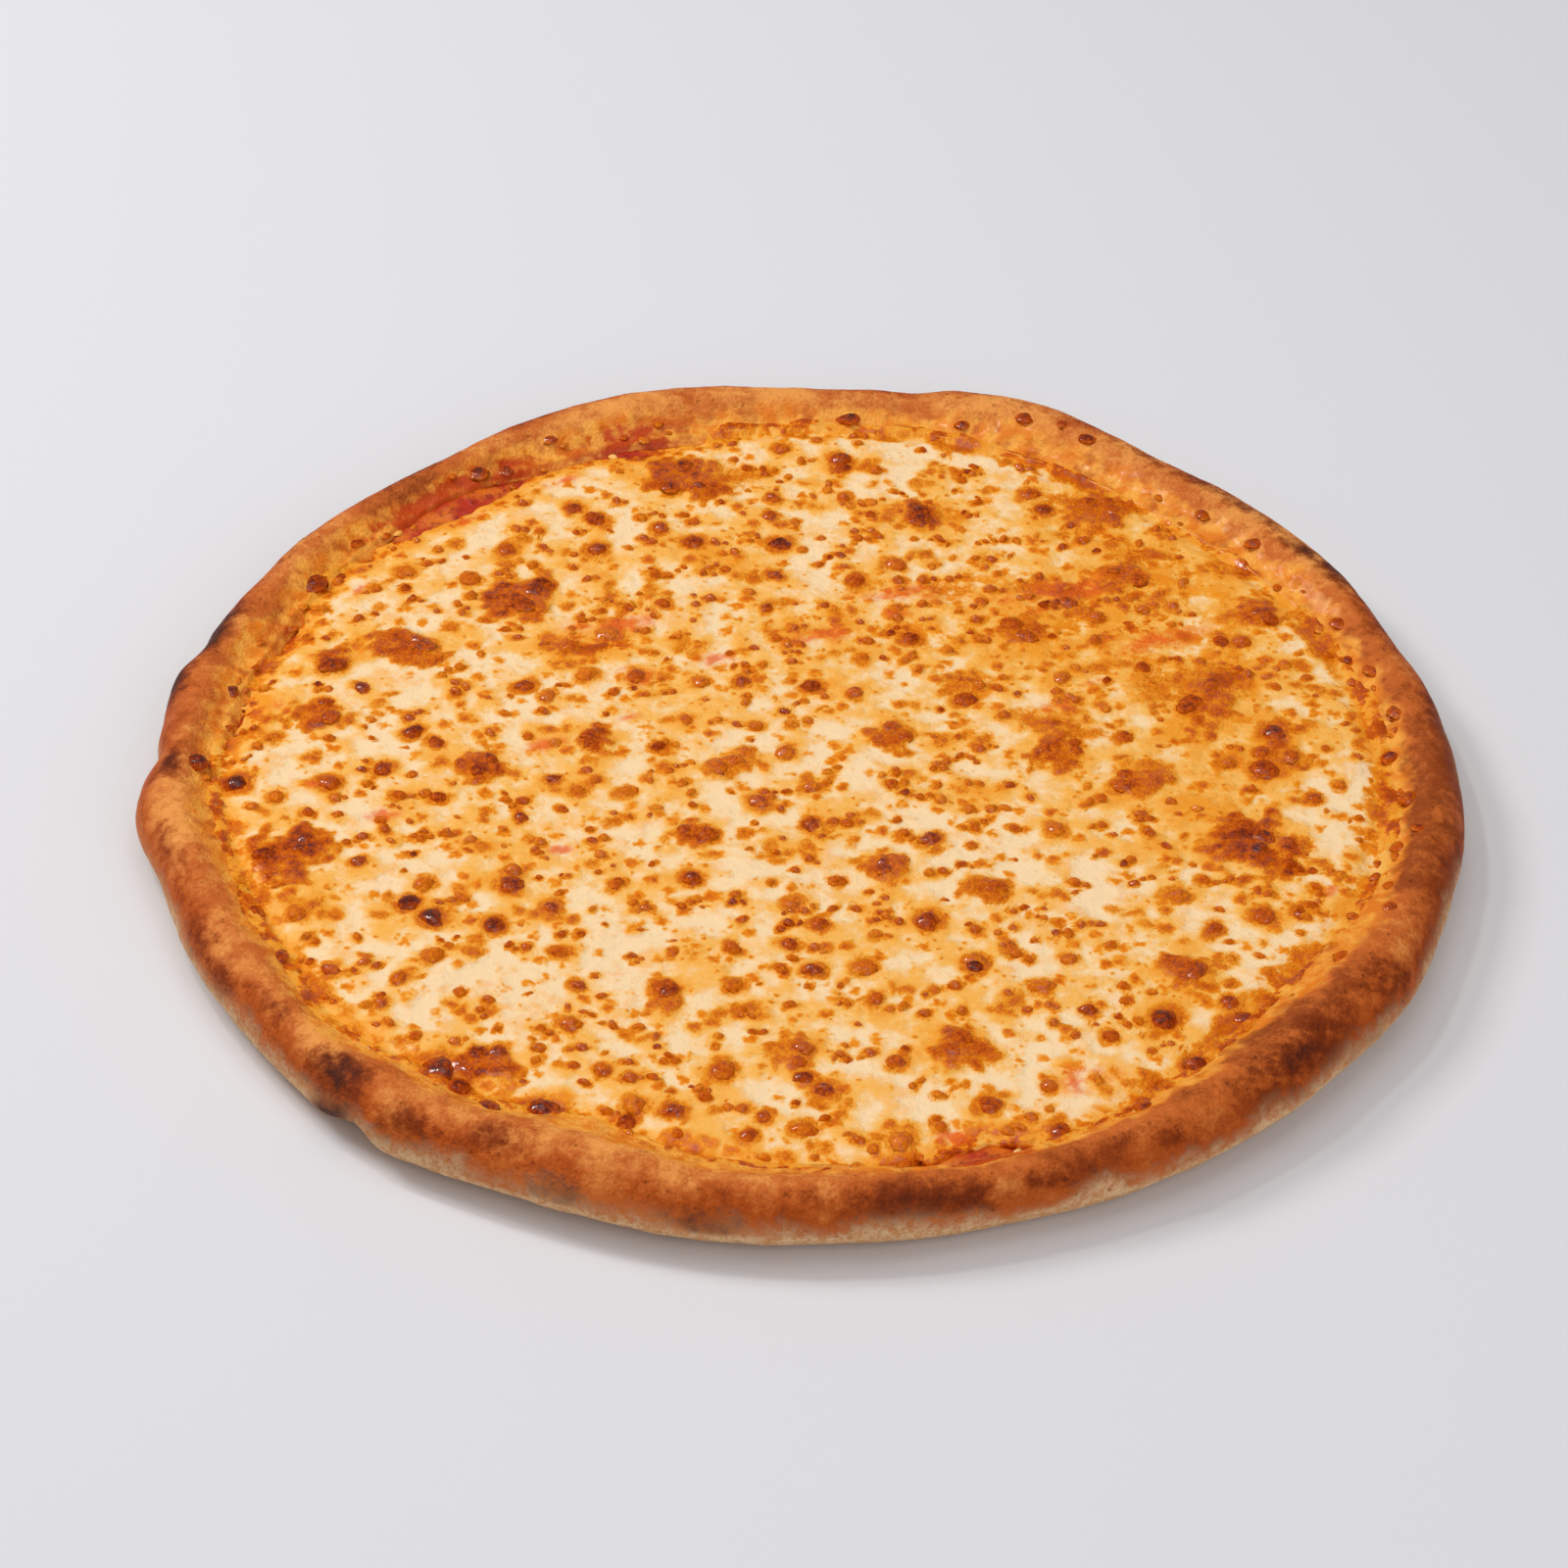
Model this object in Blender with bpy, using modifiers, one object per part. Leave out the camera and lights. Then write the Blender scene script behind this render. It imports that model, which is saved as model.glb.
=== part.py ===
"""Pan pizza with a hand-formed rim, a sauce layer and browned cheese.

Metres, +Z up. The origin is the centre of the flat underside. Azimuths are
degrees from +X towards +Y. The dough and the sauce are first turned truly
round, at the nominal radii, and then moved to the pizza's uneven outline.
The cheese sheet is stretched to the same outline.
"""

import math
import random

import bmesh
import bpy
from mathutils import Matrix, Vector, noise

MM = 0.001
NAME = "pan_pizza"
GAP = 0.3 * MM
MERGE = 0.01 * MM

# Nominal round sizes of the baked dough
OUTER_R = 154 * MM
FOOT_R = 136.5 * MM
CREST_SHARE = 0.47
CREST_R = OUTER_R - CREST_SHARE * (OUTER_R - FOOT_R)
CREST_Z = 17.5 * MM
WIDEST_Z = 8.6 * MM
FOOT_Z = 13.2 * MM
FLOOR_Z = 9.0 * MM
UNDERCUT = 14 * MM
WELL_WALL = 3.5 * MM

# Sauce and cheese, in the well of the dough
SAUCE_TOP_Z = 10.6 * MM
SAUCE_RISE = 1.6 * MM
SAUCE_CLIMB = 1.6
SAUCE_LIP = 1.5 * MM
SAUCE_SETBACK = 1.2 * MM
SAUCE_EDGE_GAP = 0.42 * MM
CHEESE_UNDER_Z = SAUCE_TOP_Z + GAP
CHEESE_TOP_Z = 13.4 * MM
CHEESE_EDGE_Z = 12.4 * MM
CHEESE_EDGE_GAP = 1.1 * MM
CHEESE_EDGE_SLOPE = 1.4 * MM
CHEESE_TAPER = 6 * MM
CHEESE_WAVE = 0.45 * MM
CHEESE_WAVE_SIZE = 24 * MM

# Swells as azimuth, amount in mm, half-width in degrees
OUTLINE_SWELLS = [
    (45, 1.2, 20), (70, 6.2, 20), (108, 4.4, 22), (155, -1.2, 22), (170, 1.8, 8), (188, 3.4, 10),
    (232, 2.8, 16), (285, -1.9, 26), (331, 1.1, 12), (357, 0.9, 12), (20, -1.2, 12), (131, -1.4, 12),
]
FOOT_SWELLS = [
    (45, -2.2, 20), (78, 1.8, 20), (132, 1.5, 30), (182, 1.8, 24), (222, 3.4, 12),
    (250, -5.0, 13), (286, 3.0, 16), (322, -5.0, 26),
]
CREST_SWELLS = [
    (15, -0.8, 14), (68, 1.2, 16), (104, 0.5, 12), (140, -0.7, 16), (190, 1.0, 14),
    (250, 0.6, 14), (285, -0.8, 16), (322, 1.0, 24),
]
# Places where the cheese stops short of the rim and the sauce shows
SAUCE_WINDOWS = [(110, 4.0, 12), (132, 6.5, 18), (160, 2.5, 6), (174, 2.5, 6), (286, 5.0, 8)]
WINDOW_DEPTH = 6.5 * MM
WINDOW_START = 0.25

# Dents in the rim as azimuth, height in mm, depth in mm, half-width in mm
RIM_DENTS = [(231, 4.5, 3.0, 10), (80, 13.0, 1.2, 12), (181, 11.0, 1.6, 9), (166, 12.0, 1.2, 10)]
RIM_RELIEF = 0.55 * MM
RIM_RELIEF_SIZE = 19 * MM
RELIEF_START_Z = 0.2 * MM
RELIEF_FADE = 4 * MM
RELIEF_FOOT_SHARE = 0.33

RIM_SEGMENTS = 120
ARC_STEPS = 5
SAUCE_SEGMENTS = 96
SHEET_CELLS = 28
RING_SHARE = 0.55
SHARP_ANGLE = 50

# Browned cheese: large patches as azimuth, radius in mm, width in mm
PATCHES = [
    (138, 93, 18), (158, 106, 19), (197, 124, 20), (106, 118, 22), (54, 126, 18), (15, 100, 22),
    (345, 105, 23), (7, 59, 18), (24, 21, 14), (189, 18, 14), (183, 77, 13), (75, 102, 13),
    (320, 111, 15), (289, 106, 15), (268, 101, 14), (311, 62, 13), (46, 74, 13), (44, 108, 14),
    (173, 118, 13), (164, 121, 12), (355, 78, 13), (174, 50, 12), (250, 89, 11), (3, 112, 13),
    (29, 125, 12), (237, 128, 13), (227, 37, 11), (296, 43, 11),
]
PATCH_HEIGHT = 0.9 * MM
PATCH_ROUNDNESS = (0.6, 0.85)
LUMP_WIDTH = (4.0, 6.5)
LUMP_HEIGHT = (0.6, 1.0)
LUMP_REACH = (0.1, 0.32)
LUMPS_PER_MM = 0.14
BLISTER_COUNT = 84
BLISTER_WIDTH = (4.2, 7.0)
BLISTER_HEIGHT = (1.0, 1.6)
BLISTER_ROUNDNESS = (0.75, 1.0)
BLISTER_SPACING = 12.5 * MM
EDGE_MARGIN = 2.5 * MM
DOME_SIDES = 7
DOME_RINGS = 4
DOME_SINK = 0.25
DOME_BELOW = 0.4
SEED = 41


def clear_scene():
    """Remove what the scene holds, so that the part is built alone."""
    for item in list(bpy.data.objects):
        bpy.data.objects.remove(item, do_unlink=True)


def swell(azimuth, swells):
    """Sum of rounded swells at an azimuth, in metres."""
    total = 0.0
    for centre, amount, half_width in swells:
        offset = abs((azimuth - centre + 180) % 360 - 180)
        if offset < half_width:
            total += amount * MM * 0.5 * (1 + math.cos(math.pi * offset / half_width))
    return total


def smooth_step(value):
    """Ease from 0 to 1."""
    value = min(max(value, 0.0), 1.0)
    return value * value * (3 - 2 * value)


def outer_radius(azimuth):
    """Radius of the rim's outside."""
    return OUTER_R + swell(azimuth, OUTLINE_SWELLS)


def foot_radius(azimuth):
    """Radius of the foot of the rim's inner slope, where the filling starts."""
    return FOOT_R + swell(azimuth, FOOT_SWELLS)


def window_depth(azimuth):
    """How far the cheese stops short of its usual edge."""
    return min(swell(azimuth, SAUCE_WINDOWS), WINDOW_DEPTH)


def cheese_edge(azimuth):
    """Radius of the edge of the cheese."""
    return foot_radius(azimuth) - CHEESE_EDGE_GAP - window_depth(azimuth)


def direction(azimuth):
    """Level unit vector at an azimuth."""
    return Vector((math.cos(math.radians(azimuth)), math.sin(math.radians(azimuth)), 0))


def polar(point):
    """Azimuth in degrees and radius of a point."""
    return math.degrees(math.atan2(point.y, point.x)) % 360, math.hypot(point.x, point.y)


def hand_shaped(point):
    """Move a point of a round layer to the pizza's uneven outline."""
    azimuth, radius = polar(point)
    if radius == 0:
        return point.copy()
    foot = foot_radius(azimuth)
    if radius <= FOOT_R:
        moved = radius * foot / FOOT_R
    else:
        moved = foot + (radius - FOOT_R) * (outer_radius(azimuth) - foot) / (OUTER_R - FOOT_R)
    return Vector((point.x * moved / radius, point.y * moved / radius, point.z))


def well_wall_radius(height):
    """Nominal radius of the sloping wall of the well at a height."""
    return FOOT_R - WELL_WALL * (FOOT_Z - height) / (FOOT_Z - FLOOR_Z)


def turned(name, profile, segments):
    """Turn a profile round the Z axis with a Screw modifier and return its mesh."""
    line = bpy.data.meshes.new(name + "_profile")
    line.from_pydata([(r, 0, z) for r, z in profile], [(i, i + 1) for i in range(len(profile) - 1)], [])
    outline = bpy.data.objects.new(name + "_profile", line)
    bpy.context.scene.collection.objects.link(outline)
    screw = outline.modifiers.new("Turn", "SCREW")
    screw.steps = screw.render_steps = segments
    screw.use_merge_vertices = True
    screw.merge_threshold = MERGE
    mesh = bpy.data.meshes.new_from_object(outline.evaluated_get(bpy.context.evaluated_depsgraph_get()))
    mesh.name = name
    bpy.data.objects.remove(outline, do_unlink=True)
    bpy.data.meshes.remove(line)
    return mesh


def arc(centre, radii, start, end, steps):
    """Points of an elliptical arc, without its first point."""
    points = []
    for step in range(1, steps + 1):
        angle = math.radians(start + (end - start) * step / steps)
        points.append((centre[0] + radii[0] * math.cos(angle), centre[1] + radii[1] * math.sin(angle)))
    return points


def crust_profile():
    """From the middle of the well over the rim and back along the underside."""
    ring_r = RING_SHARE * FOOT_R
    profile = [(0, FLOOR_Z), (ring_r, FLOOR_Z), (well_wall_radius(FLOOR_Z), FLOOR_Z), (FOOT_R, FOOT_Z)]
    for step in range(1, ARC_STEPS + 1):
        share = step / ARC_STEPS
        rise = 0.5 * (1 - math.cos(math.pi * share))
        profile.append((FOOT_R + share * (CREST_R - FOOT_R), FOOT_Z + rise * (CREST_Z - FOOT_Z)))
    profile += arc((CREST_R, WIDEST_Z), (OUTER_R - CREST_R, CREST_Z - WIDEST_Z), 90, 0, ARC_STEPS)
    profile += arc((OUTER_R - UNDERCUT, WIDEST_Z), (UNDERCUT, WIDEST_Z), 0, -90, ARC_STEPS)
    profile += [(ring_r, 0), (0, 0)]
    return profile


def raise_crest(point):
    """Vary the height of the rim, and leave the well and the underside flat."""
    azimuth, radius = polar(point)
    share = smooth_step((radius - FOOT_R) / (CREST_R - FOOT_R))
    point.z *= 1 + share * swell(azimuth, CREST_SWELLS) / CREST_Z


def dent_depth(point):
    """Depth of the hand-made dents at a point of the rim."""
    azimuth, radius = polar(point)
    depth = 0.0
    for centre, height, amount, half_width in RIM_DENTS:
        along = math.radians((azimuth - centre + 180) % 360 - 180) * radius
        distance = math.hypot(along, point.z - height * MM) / (half_width * MM)
        depth += amount * MM * smooth_step(1 - distance)
    return depth


def rim_relief(vertex):
    """Move of a vertex by the rim's bumps and dents, none on the foot and the underside."""
    azimuth, radius = polar(vertex.co)
    foot = foot_radius(azimuth)
    share = (radius - foot) / (outer_radius(azimuth) - foot)
    fade = smooth_step(share / RELIEF_FOOT_SHARE) * smooth_step((vertex.co.z - RELIEF_START_Z) / RELIEF_FADE)
    bumps = RIM_RELIEF * noise.noise(vertex.co / RIM_RELIEF_SIZE)
    return vertex.normal * fade * (bumps - dent_depth(vertex.co))


def make_crust():
    """Dough: a flat base, a shallow well and a puffed rim with uneven relief."""
    mesh = turned("crust", crust_profile(), RIM_SEGMENTS)
    for vertex in mesh.vertices:
        raise_crest(vertex.co)
        vertex.co = hand_shaped(vertex.co)
    mesh.update()
    moves = [rim_relief(vertex) for vertex in mesh.vertices]
    for vertex, move in zip(mesh.vertices, moves):
        vertex.co += move
    return mesh


def make_sauce():
    """Sauce: a thin disc that fills the well and rises where the cheese stops short."""
    floor_z = FLOOR_Z + GAP
    edge_r = well_wall_radius(SAUCE_TOP_Z) - SAUCE_EDGE_GAP
    lip_r = edge_r - SAUCE_LIP
    profile = [(0, SAUCE_TOP_Z), (RING_SHARE * edge_r, SAUCE_TOP_Z), (lip_r, SAUCE_TOP_Z),
               (0.5 * (lip_r + edge_r), SAUCE_TOP_Z), (edge_r, SAUCE_TOP_Z),
               (well_wall_radius(floor_z) - SAUCE_EDGE_GAP, floor_z), (0, floor_z)]
    mesh = turned("sauce", profile, SAUCE_SEGMENTS)
    for vertex in mesh.vertices:
        azimuth, radius = polar(vertex.co)
        if vertex.co.z > SAUCE_TOP_Z - MERGE and radius > lip_r - MERGE:
            share = (radius - lip_r) / SAUCE_LIP
            depth = window_depth(azimuth)
            rise = SAUCE_RISE * max(0, depth / WINDOW_DEPTH - WINDOW_START) / (1 - WINDOW_START)
            lip = max(SAUCE_LIP, depth - SAUCE_SETBACK)
            climb = (well_wall_radius(SAUCE_TOP_Z + rise) - well_wall_radius(SAUCE_TOP_Z)) * share
            vertex.co *= (edge_r - (1 - share) * lip + climb) / radius
            vertex.co.z = SAUCE_TOP_Z + rise * smooth_step(SAUCE_CLIMB * share)
        vertex.co = hand_shaped(vertex.co)
    return mesh


def disc_point(u, v):
    """Map a square of side 2 to a unit disc, with cells of nearly equal size."""
    if u == 0 and v == 0:
        return Vector((0, 0, 0))
    if abs(u) > abs(v):
        radius, angle = u, math.pi / 4 * v / u
    else:
        radius, angle = v, math.pi / 2 - math.pi / 4 * u / v
    return Vector((radius * math.cos(angle), radius * math.sin(angle), 0))


def cheese_height(point):
    """Height of the bare top of the cheese."""
    azimuth, radius = polar(point)
    taper = smooth_step((radius - cheese_edge(azimuth) + CHEESE_TAPER) / CHEESE_TAPER)
    wave = noise.noise(Vector((point.x, point.y, 0)) / CHEESE_WAVE_SIZE) * (1 - taper)
    return CHEESE_TOP_Z + CHEESE_WAVE * wave - (CHEESE_TOP_Z - CHEESE_EDGE_Z) * taper


def make_cheese_sheet():
    """Melted cheese: a wavy sheet with a thin edge and a flat underside."""
    bm = bmesh.new()
    bmesh.ops.create_grid(bm, x_segments=SHEET_CELLS, y_segments=SHEET_CELLS, size=1)
    for vertex in bm.verts:
        spot = disc_point(vertex.co.x, vertex.co.y)
        spot *= cheese_edge(polar(spot)[0])
        spot.z = cheese_height(spot)
        vertex.co = spot
    rim = [edge for edge in bm.edges if edge.is_boundary]
    lower = bmesh.ops.extrude_edge_only(bm, edges=rim)["geom"]
    for vertex in [item for item in lower if isinstance(item, bmesh.types.BMVert)]:
        radius = polar(vertex.co)[1]
        vertex.co *= (radius - CHEESE_EDGE_SLOPE) / radius
        vertex.co.z = CHEESE_UNDER_Z
    open_edges = [edge for edge in bm.edges if edge.is_boundary]
    bmesh.ops.contextual_create(bm, geom=open_edges)
    bmesh.ops.recalc_face_normals(bm, faces=bm.faces)
    mesh = bpy.data.meshes.new("cheese")
    bm.to_mesh(mesh)
    bm.free()
    return mesh


def patch_domes(draw):
    """Place, size and turn of each large patch and of the lumps on it."""
    places = []
    for azimuth, radius, width in PATCHES:
        centre = direction(azimuth) * radius * MM
        half = width / 2 * MM
        places.append((centre, Vector((half, half * draw.uniform(*PATCH_ROUNDNESS), PATCH_HEIGHT)),
                       draw.uniform(0, 180)))
        for _ in range(round(width * LUMPS_PER_MM)):
            lump = direction(draw.uniform(0, 360)) * width * MM * draw.uniform(*LUMP_REACH)
            half = draw.uniform(*LUMP_WIDTH) / 2 * MM
            height = PATCH_HEIGHT + draw.uniform(*LUMP_HEIGHT) * MM
            places.append((centre + lump, Vector((half, half * draw.uniform(*BLISTER_ROUNDNESS), height)),
                           draw.uniform(0, 180)))
    return places


def blister_domes(draw, taken):
    """Lone blisters, spread evenly by seeded draws over what the patches leave free."""
    places = []
    while len(places) < BLISTER_COUNT:
        centre = direction(draw.uniform(0, 360)) * FOOT_R * math.sqrt(draw.random())
        half = draw.uniform(*BLISTER_WIDTH) / 2 * MM
        azimuth, radius = polar(centre)
        inside = radius < cheese_edge(azimuth) - half - EDGE_MARGIN
        apart = all((centre - other).length > BLISTER_SPACING / 2 + size.x
                    for other, size, _ in taken + places)
        if inside and apart:
            size = Vector((half, half * draw.uniform(*BLISTER_ROUNDNESS), draw.uniform(*BLISTER_HEIGHT) * MM))
            places.append((centre, size, draw.uniform(0, 180)))
    return places


def make_domes(cutters):
    """One low dome for each browned place, sunk a little into the sheet."""
    draw = random.Random(SEED)
    places = patch_domes(draw)
    places += blister_domes(draw, places)
    for index, (centre, size, turn) in enumerate(places):
        bm = bmesh.new()
        bmesh.ops.create_uvsphere(bm, u_segments=DOME_SIDES, v_segments=DOME_RINGS, radius=1)
        for vertex in bm.verts:
            vertex.co.z *= DOME_BELOW if vertex.co.z < 0 else 1
        base = Vector((centre.x, centre.y, cheese_height(centre) - DOME_SINK * size.z))
        turned_size = Matrix.Rotation(math.radians(turn), 4, "Z") @ Matrix.Diagonal((*size, 1))
        bmesh.ops.transform(bm, matrix=Matrix.Translation(base) @ turned_size, verts=bm.verts)
        mesh = bpy.data.meshes.new(f"dome_{index:03d}")
        bm.to_mesh(mesh)
        bm.free()
        dome = bpy.data.objects.new(mesh.name, mesh)
        dome.hide_render = True
        dome.display_type = "WIRE"
        cutters.objects.link(dome)


def fuse_domes(cheese, cutters):
    """Join the domes to the sheet in one union, and remove them."""
    union = cheese.modifiers.new("Browning", "BOOLEAN")
    union.operation = "UNION"
    union.operand_type = "COLLECTION"
    union.collection = cutters
    union.solver = "EXACT"
    depsgraph = bpy.context.evaluated_depsgraph_get()
    fused = bpy.data.meshes.new_from_object(cheese.evaluated_get(depsgraph))
    cheese.modifiers.clear()
    cheese.data = fused
    for dome in list(cutters.objects):
        bpy.data.objects.remove(dome, do_unlink=True)
    bpy.data.collections.remove(cutters)


def material(name, colour, roughness):
    """A plain Principled material."""
    finish = bpy.data.materials.new(name)
    finish.use_nodes = True
    shader = finish.node_tree.nodes["Principled BSDF"]
    shader.inputs["Base Color"].default_value = (*colour, 1)
    shader.inputs["Roughness"].default_value = roughness
    shader.inputs["Metallic"].default_value = 0
    return finish


def add_piece(collection, mesh, finish):
    """Link a mesh as a named, smooth-shaded object."""
    piece = bpy.data.objects.new(mesh.name, mesh)
    mesh.materials.clear()
    mesh.materials.append(finish)
    mesh.shade_smooth()
    mesh.set_sharp_from_angle(angle=math.radians(SHARP_ANGLE))
    collection.objects.link(piece)
    return piece


def main():
    """Build the three pieces of the pizza."""
    clear_scene()
    pizza = bpy.data.collections.new(NAME)
    cutters = bpy.data.collections.new(NAME + "_cutters")
    bpy.context.scene.collection.children.link(pizza)
    bpy.context.scene.collection.children.link(cutters)
    add_piece(pizza, make_crust(), material("baked_dough", (0.47, 0.17, 0.06), 0.75))
    add_piece(pizza, make_sauce(), material("tomato_sauce", (0.42, 0.07, 0.02), 0.35))
    cheese = add_piece(pizza, make_cheese_sheet(), material("browned_cheese", (0.88, 0.58, 0.24), 0.4))
    make_domes(cutters)
    fuse_domes(cheese, cutters)


main()
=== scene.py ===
"""Looks of a pan pizza: hand-formed crust, sauce, melted cheese and its browning.

Metres, +Z up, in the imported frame. Azimuths are degrees from +X towards +Y.
The outline, the well and the browned places repeat the values of the part.
"""

import math
import random
from collections import namedtuple

import bmesh
import bpy
import numpy as np
from mathutils import Matrix, Vector, noise


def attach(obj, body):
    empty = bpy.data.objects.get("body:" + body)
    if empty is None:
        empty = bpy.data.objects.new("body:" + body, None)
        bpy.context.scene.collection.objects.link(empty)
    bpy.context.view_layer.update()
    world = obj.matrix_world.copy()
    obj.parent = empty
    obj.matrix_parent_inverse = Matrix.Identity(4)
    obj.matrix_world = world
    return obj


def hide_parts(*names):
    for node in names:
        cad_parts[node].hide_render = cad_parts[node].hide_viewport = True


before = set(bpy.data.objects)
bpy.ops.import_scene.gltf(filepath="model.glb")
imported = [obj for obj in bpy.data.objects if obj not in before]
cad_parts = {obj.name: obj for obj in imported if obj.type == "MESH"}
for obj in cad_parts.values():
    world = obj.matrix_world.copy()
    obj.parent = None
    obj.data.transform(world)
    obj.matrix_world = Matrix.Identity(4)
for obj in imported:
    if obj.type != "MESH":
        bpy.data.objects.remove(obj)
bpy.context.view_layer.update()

bl_info = {
    "name": "Pan Pizza",
    "version": (1, 0, 0),
    "blender": (4, 5, 0),
    "location": "View3D > Sidebar > Pizza",
    "description": "Crust, sauce, cheese and browning of a pan pizza",
    "category": "Add Mesh",
}

MM = 0.001
AIM = (-0.00536, 0.0075, 0)

# Dough
OUTER_R = 154 * MM
FOOT_R = 136.5 * MM
CREST_SHARE = 0.47
CREST_R = OUTER_R - CREST_SHARE * (OUTER_R - FOOT_R)
CREST_Z = 17.5 * MM
WIDEST_Z = 8.6 * MM
FOOT_Z = 13.2 * MM
FLOOR_Z = 9.0 * MM
UNDERCUT = 14 * MM
WELL_WALL = 3.5 * MM
CREST_ACROSS = 0.53

# Filling
SAUCE_TOP_Z = 10.6 * MM
SAUCE_RISE = 1.6 * MM
CHEESE_UNDER_Z = 10.9 * MM
CHEESE_TOP_Z = 13.4 * MM
CHEESE_EDGE_Z = 12.4 * MM
CHEESE_EDGE_GAP = 1.1 * MM
CHEESE_EDGE_SLOPE = 1.4 * MM
CHEESE_TAPER = 6 * MM
CHEESE_WAVE = 0.45 * MM
CHEESE_WAVE_SIZE = 24 * MM
WINDOW_DEPTH = 6.5 * MM
WINDOW_START = 0.25
FILM_SINK = 0.3 * MM
GAP_START = 1.5 * MM
LAP_START = 4 * MM
LAP_FADE = 1.8 * MM
BORDER = 7 * MM
LIP_WIDTH = 9 * MM
LIP_FADE = 5 * MM

# Swells as azimuth, amount in mm, half-width in degrees
OUTLINE_SWELLS = [
    (45, 1.2, 20), (70, 6.2, 20), (108, 4.4, 22), (155, -1.2, 22), (170, 1.8, 8), (188, 3.4, 10),
    (232, 2.8, 16), (285, -1.9, 26), (331, 1.1, 12), (357, 0.9, 12), (20, -1.2, 12),
    (131, -1.4, 12),
]
FOOT_SWELLS = [
    (45, -2.2, 20), (78, 1.8, 20), (132, 1.5, 30), (182, 1.8, 24), (222, 3.4, 12), (250, -5.0, 13),
    (286, 3.0, 16), (322, -5.0, 26),
]
CREST_SWELLS = [
    (15, -0.8, 14), (68, 1.2, 16), (104, 0.5, 12), (140, -0.7, 16), (190, 1.0, 14), (250, 0.6, 14),
    (285, -0.8, 16), (322, 1.0, 24),
]
SAUCE_WINDOWS = [(110, 4.0, 12), (132, 6.5, 18), (160, 2.5, 6), (174, 2.5, 6), (286, 5.0, 8)]

# Dents as azimuth, height, depth and half-width in mm
RIM_DENTS = [(231, 4.5, 3.0, 10), (80, 13.0, 1.2, 12), (181, 11.0, 1.6, 9), (166, 12.0, 1.2, 10)]
RIM_RELIEF = 0.55 * MM
RIM_RELIEF_SIZE = 19 * MM
RELIEF_START_Z = 0.2 * MM
RELIEF_FADE = 4 * MM
RELIEF_FOOT_SHARE = 0.33

# Browned patches as azimuth, radius in mm, width in mm
PATCHES = [
    (138, 93, 18), (158, 106, 19), (197, 124, 20), (106, 118, 22), (54, 126, 18), (15, 100, 22),
    (345, 105, 23), (7, 59, 18), (24, 21, 14), (189, 18, 14), (183, 77, 13), (75, 102, 13),
    (320, 111, 15), (289, 106, 15), (268, 101, 14), (311, 62, 13), (46, 74, 13), (44, 108, 14),
    (173, 118, 13), (164, 121, 12), (355, 78, 13), (174, 50, 12), (250, 89, 11), (3, 112, 13),
    (29, 125, 12), (237, 128, 13), (227, 37, 11), (296, 43, 11),
]
PATCH_TONES = [
    0.84, 0.72, 0.84, 0.80, 0.68, 0.74, 0.86, 0.70, 0.68, 0.56, 0.80, 0.84, 0.74, 0.70, 0.66, 0.62,
    0.70, 0.68, 0.72, 0.82, 0.70, 0.78, 0.66, 0.66, 0.72, 0.84, 0.72, 0.80,
]
PATCH_HEIGHT = 0.9 * MM
PATCH_ROUNDNESS = (0.6, 0.85)
LUMP_WIDTH = (4.0, 6.5)
LUMP_HEIGHT = (0.6, 1.0)
LUMP_REACH = (0.1, 0.32)
LUMPS_PER_MM = 0.14
BLISTER_COUNT = 84
BLISTER_WIDTH = (4.2, 7.0)
BLISTER_HEIGHT = (1.0, 1.6)
BLISTER_ROUNDNESS = (0.75, 1.0)
BLISTER_SPACING = 12.5 * MM
EDGE_MARGIN = 2.5 * MM
SEED = 41

# Scattered spots as half-widths in mm, tones, height shares, share in chains, spacing
ORANGE_BLISTER = ((0.8, 1.9), (0.38, 0.66), (0.5, 0.9), 0.2, 1.15)
DARK_BLISTER = ((1.0, 1.8), (0.7, 0.88), (0.55, 0.85), 0.3, 0.9)
GOLDEN_SPOT = ((1.2, 2.6), (0.3, 0.52), (0, 0), 0.4, 0.9)
BLISTER_TONES = (0.5, 0.56, 0.62, 0.7, 0.82)
NAMED_HEIGHT = 0.42

# Splashes on the slope
SPLASH_COUNT = 70
SPLASH_HEIGHT = 0.24
CRUMB_TONES = (0.1, 0.3, 0.45, 0.6)
SPLASH_BASE_Z = 12.0 * MM

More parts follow.
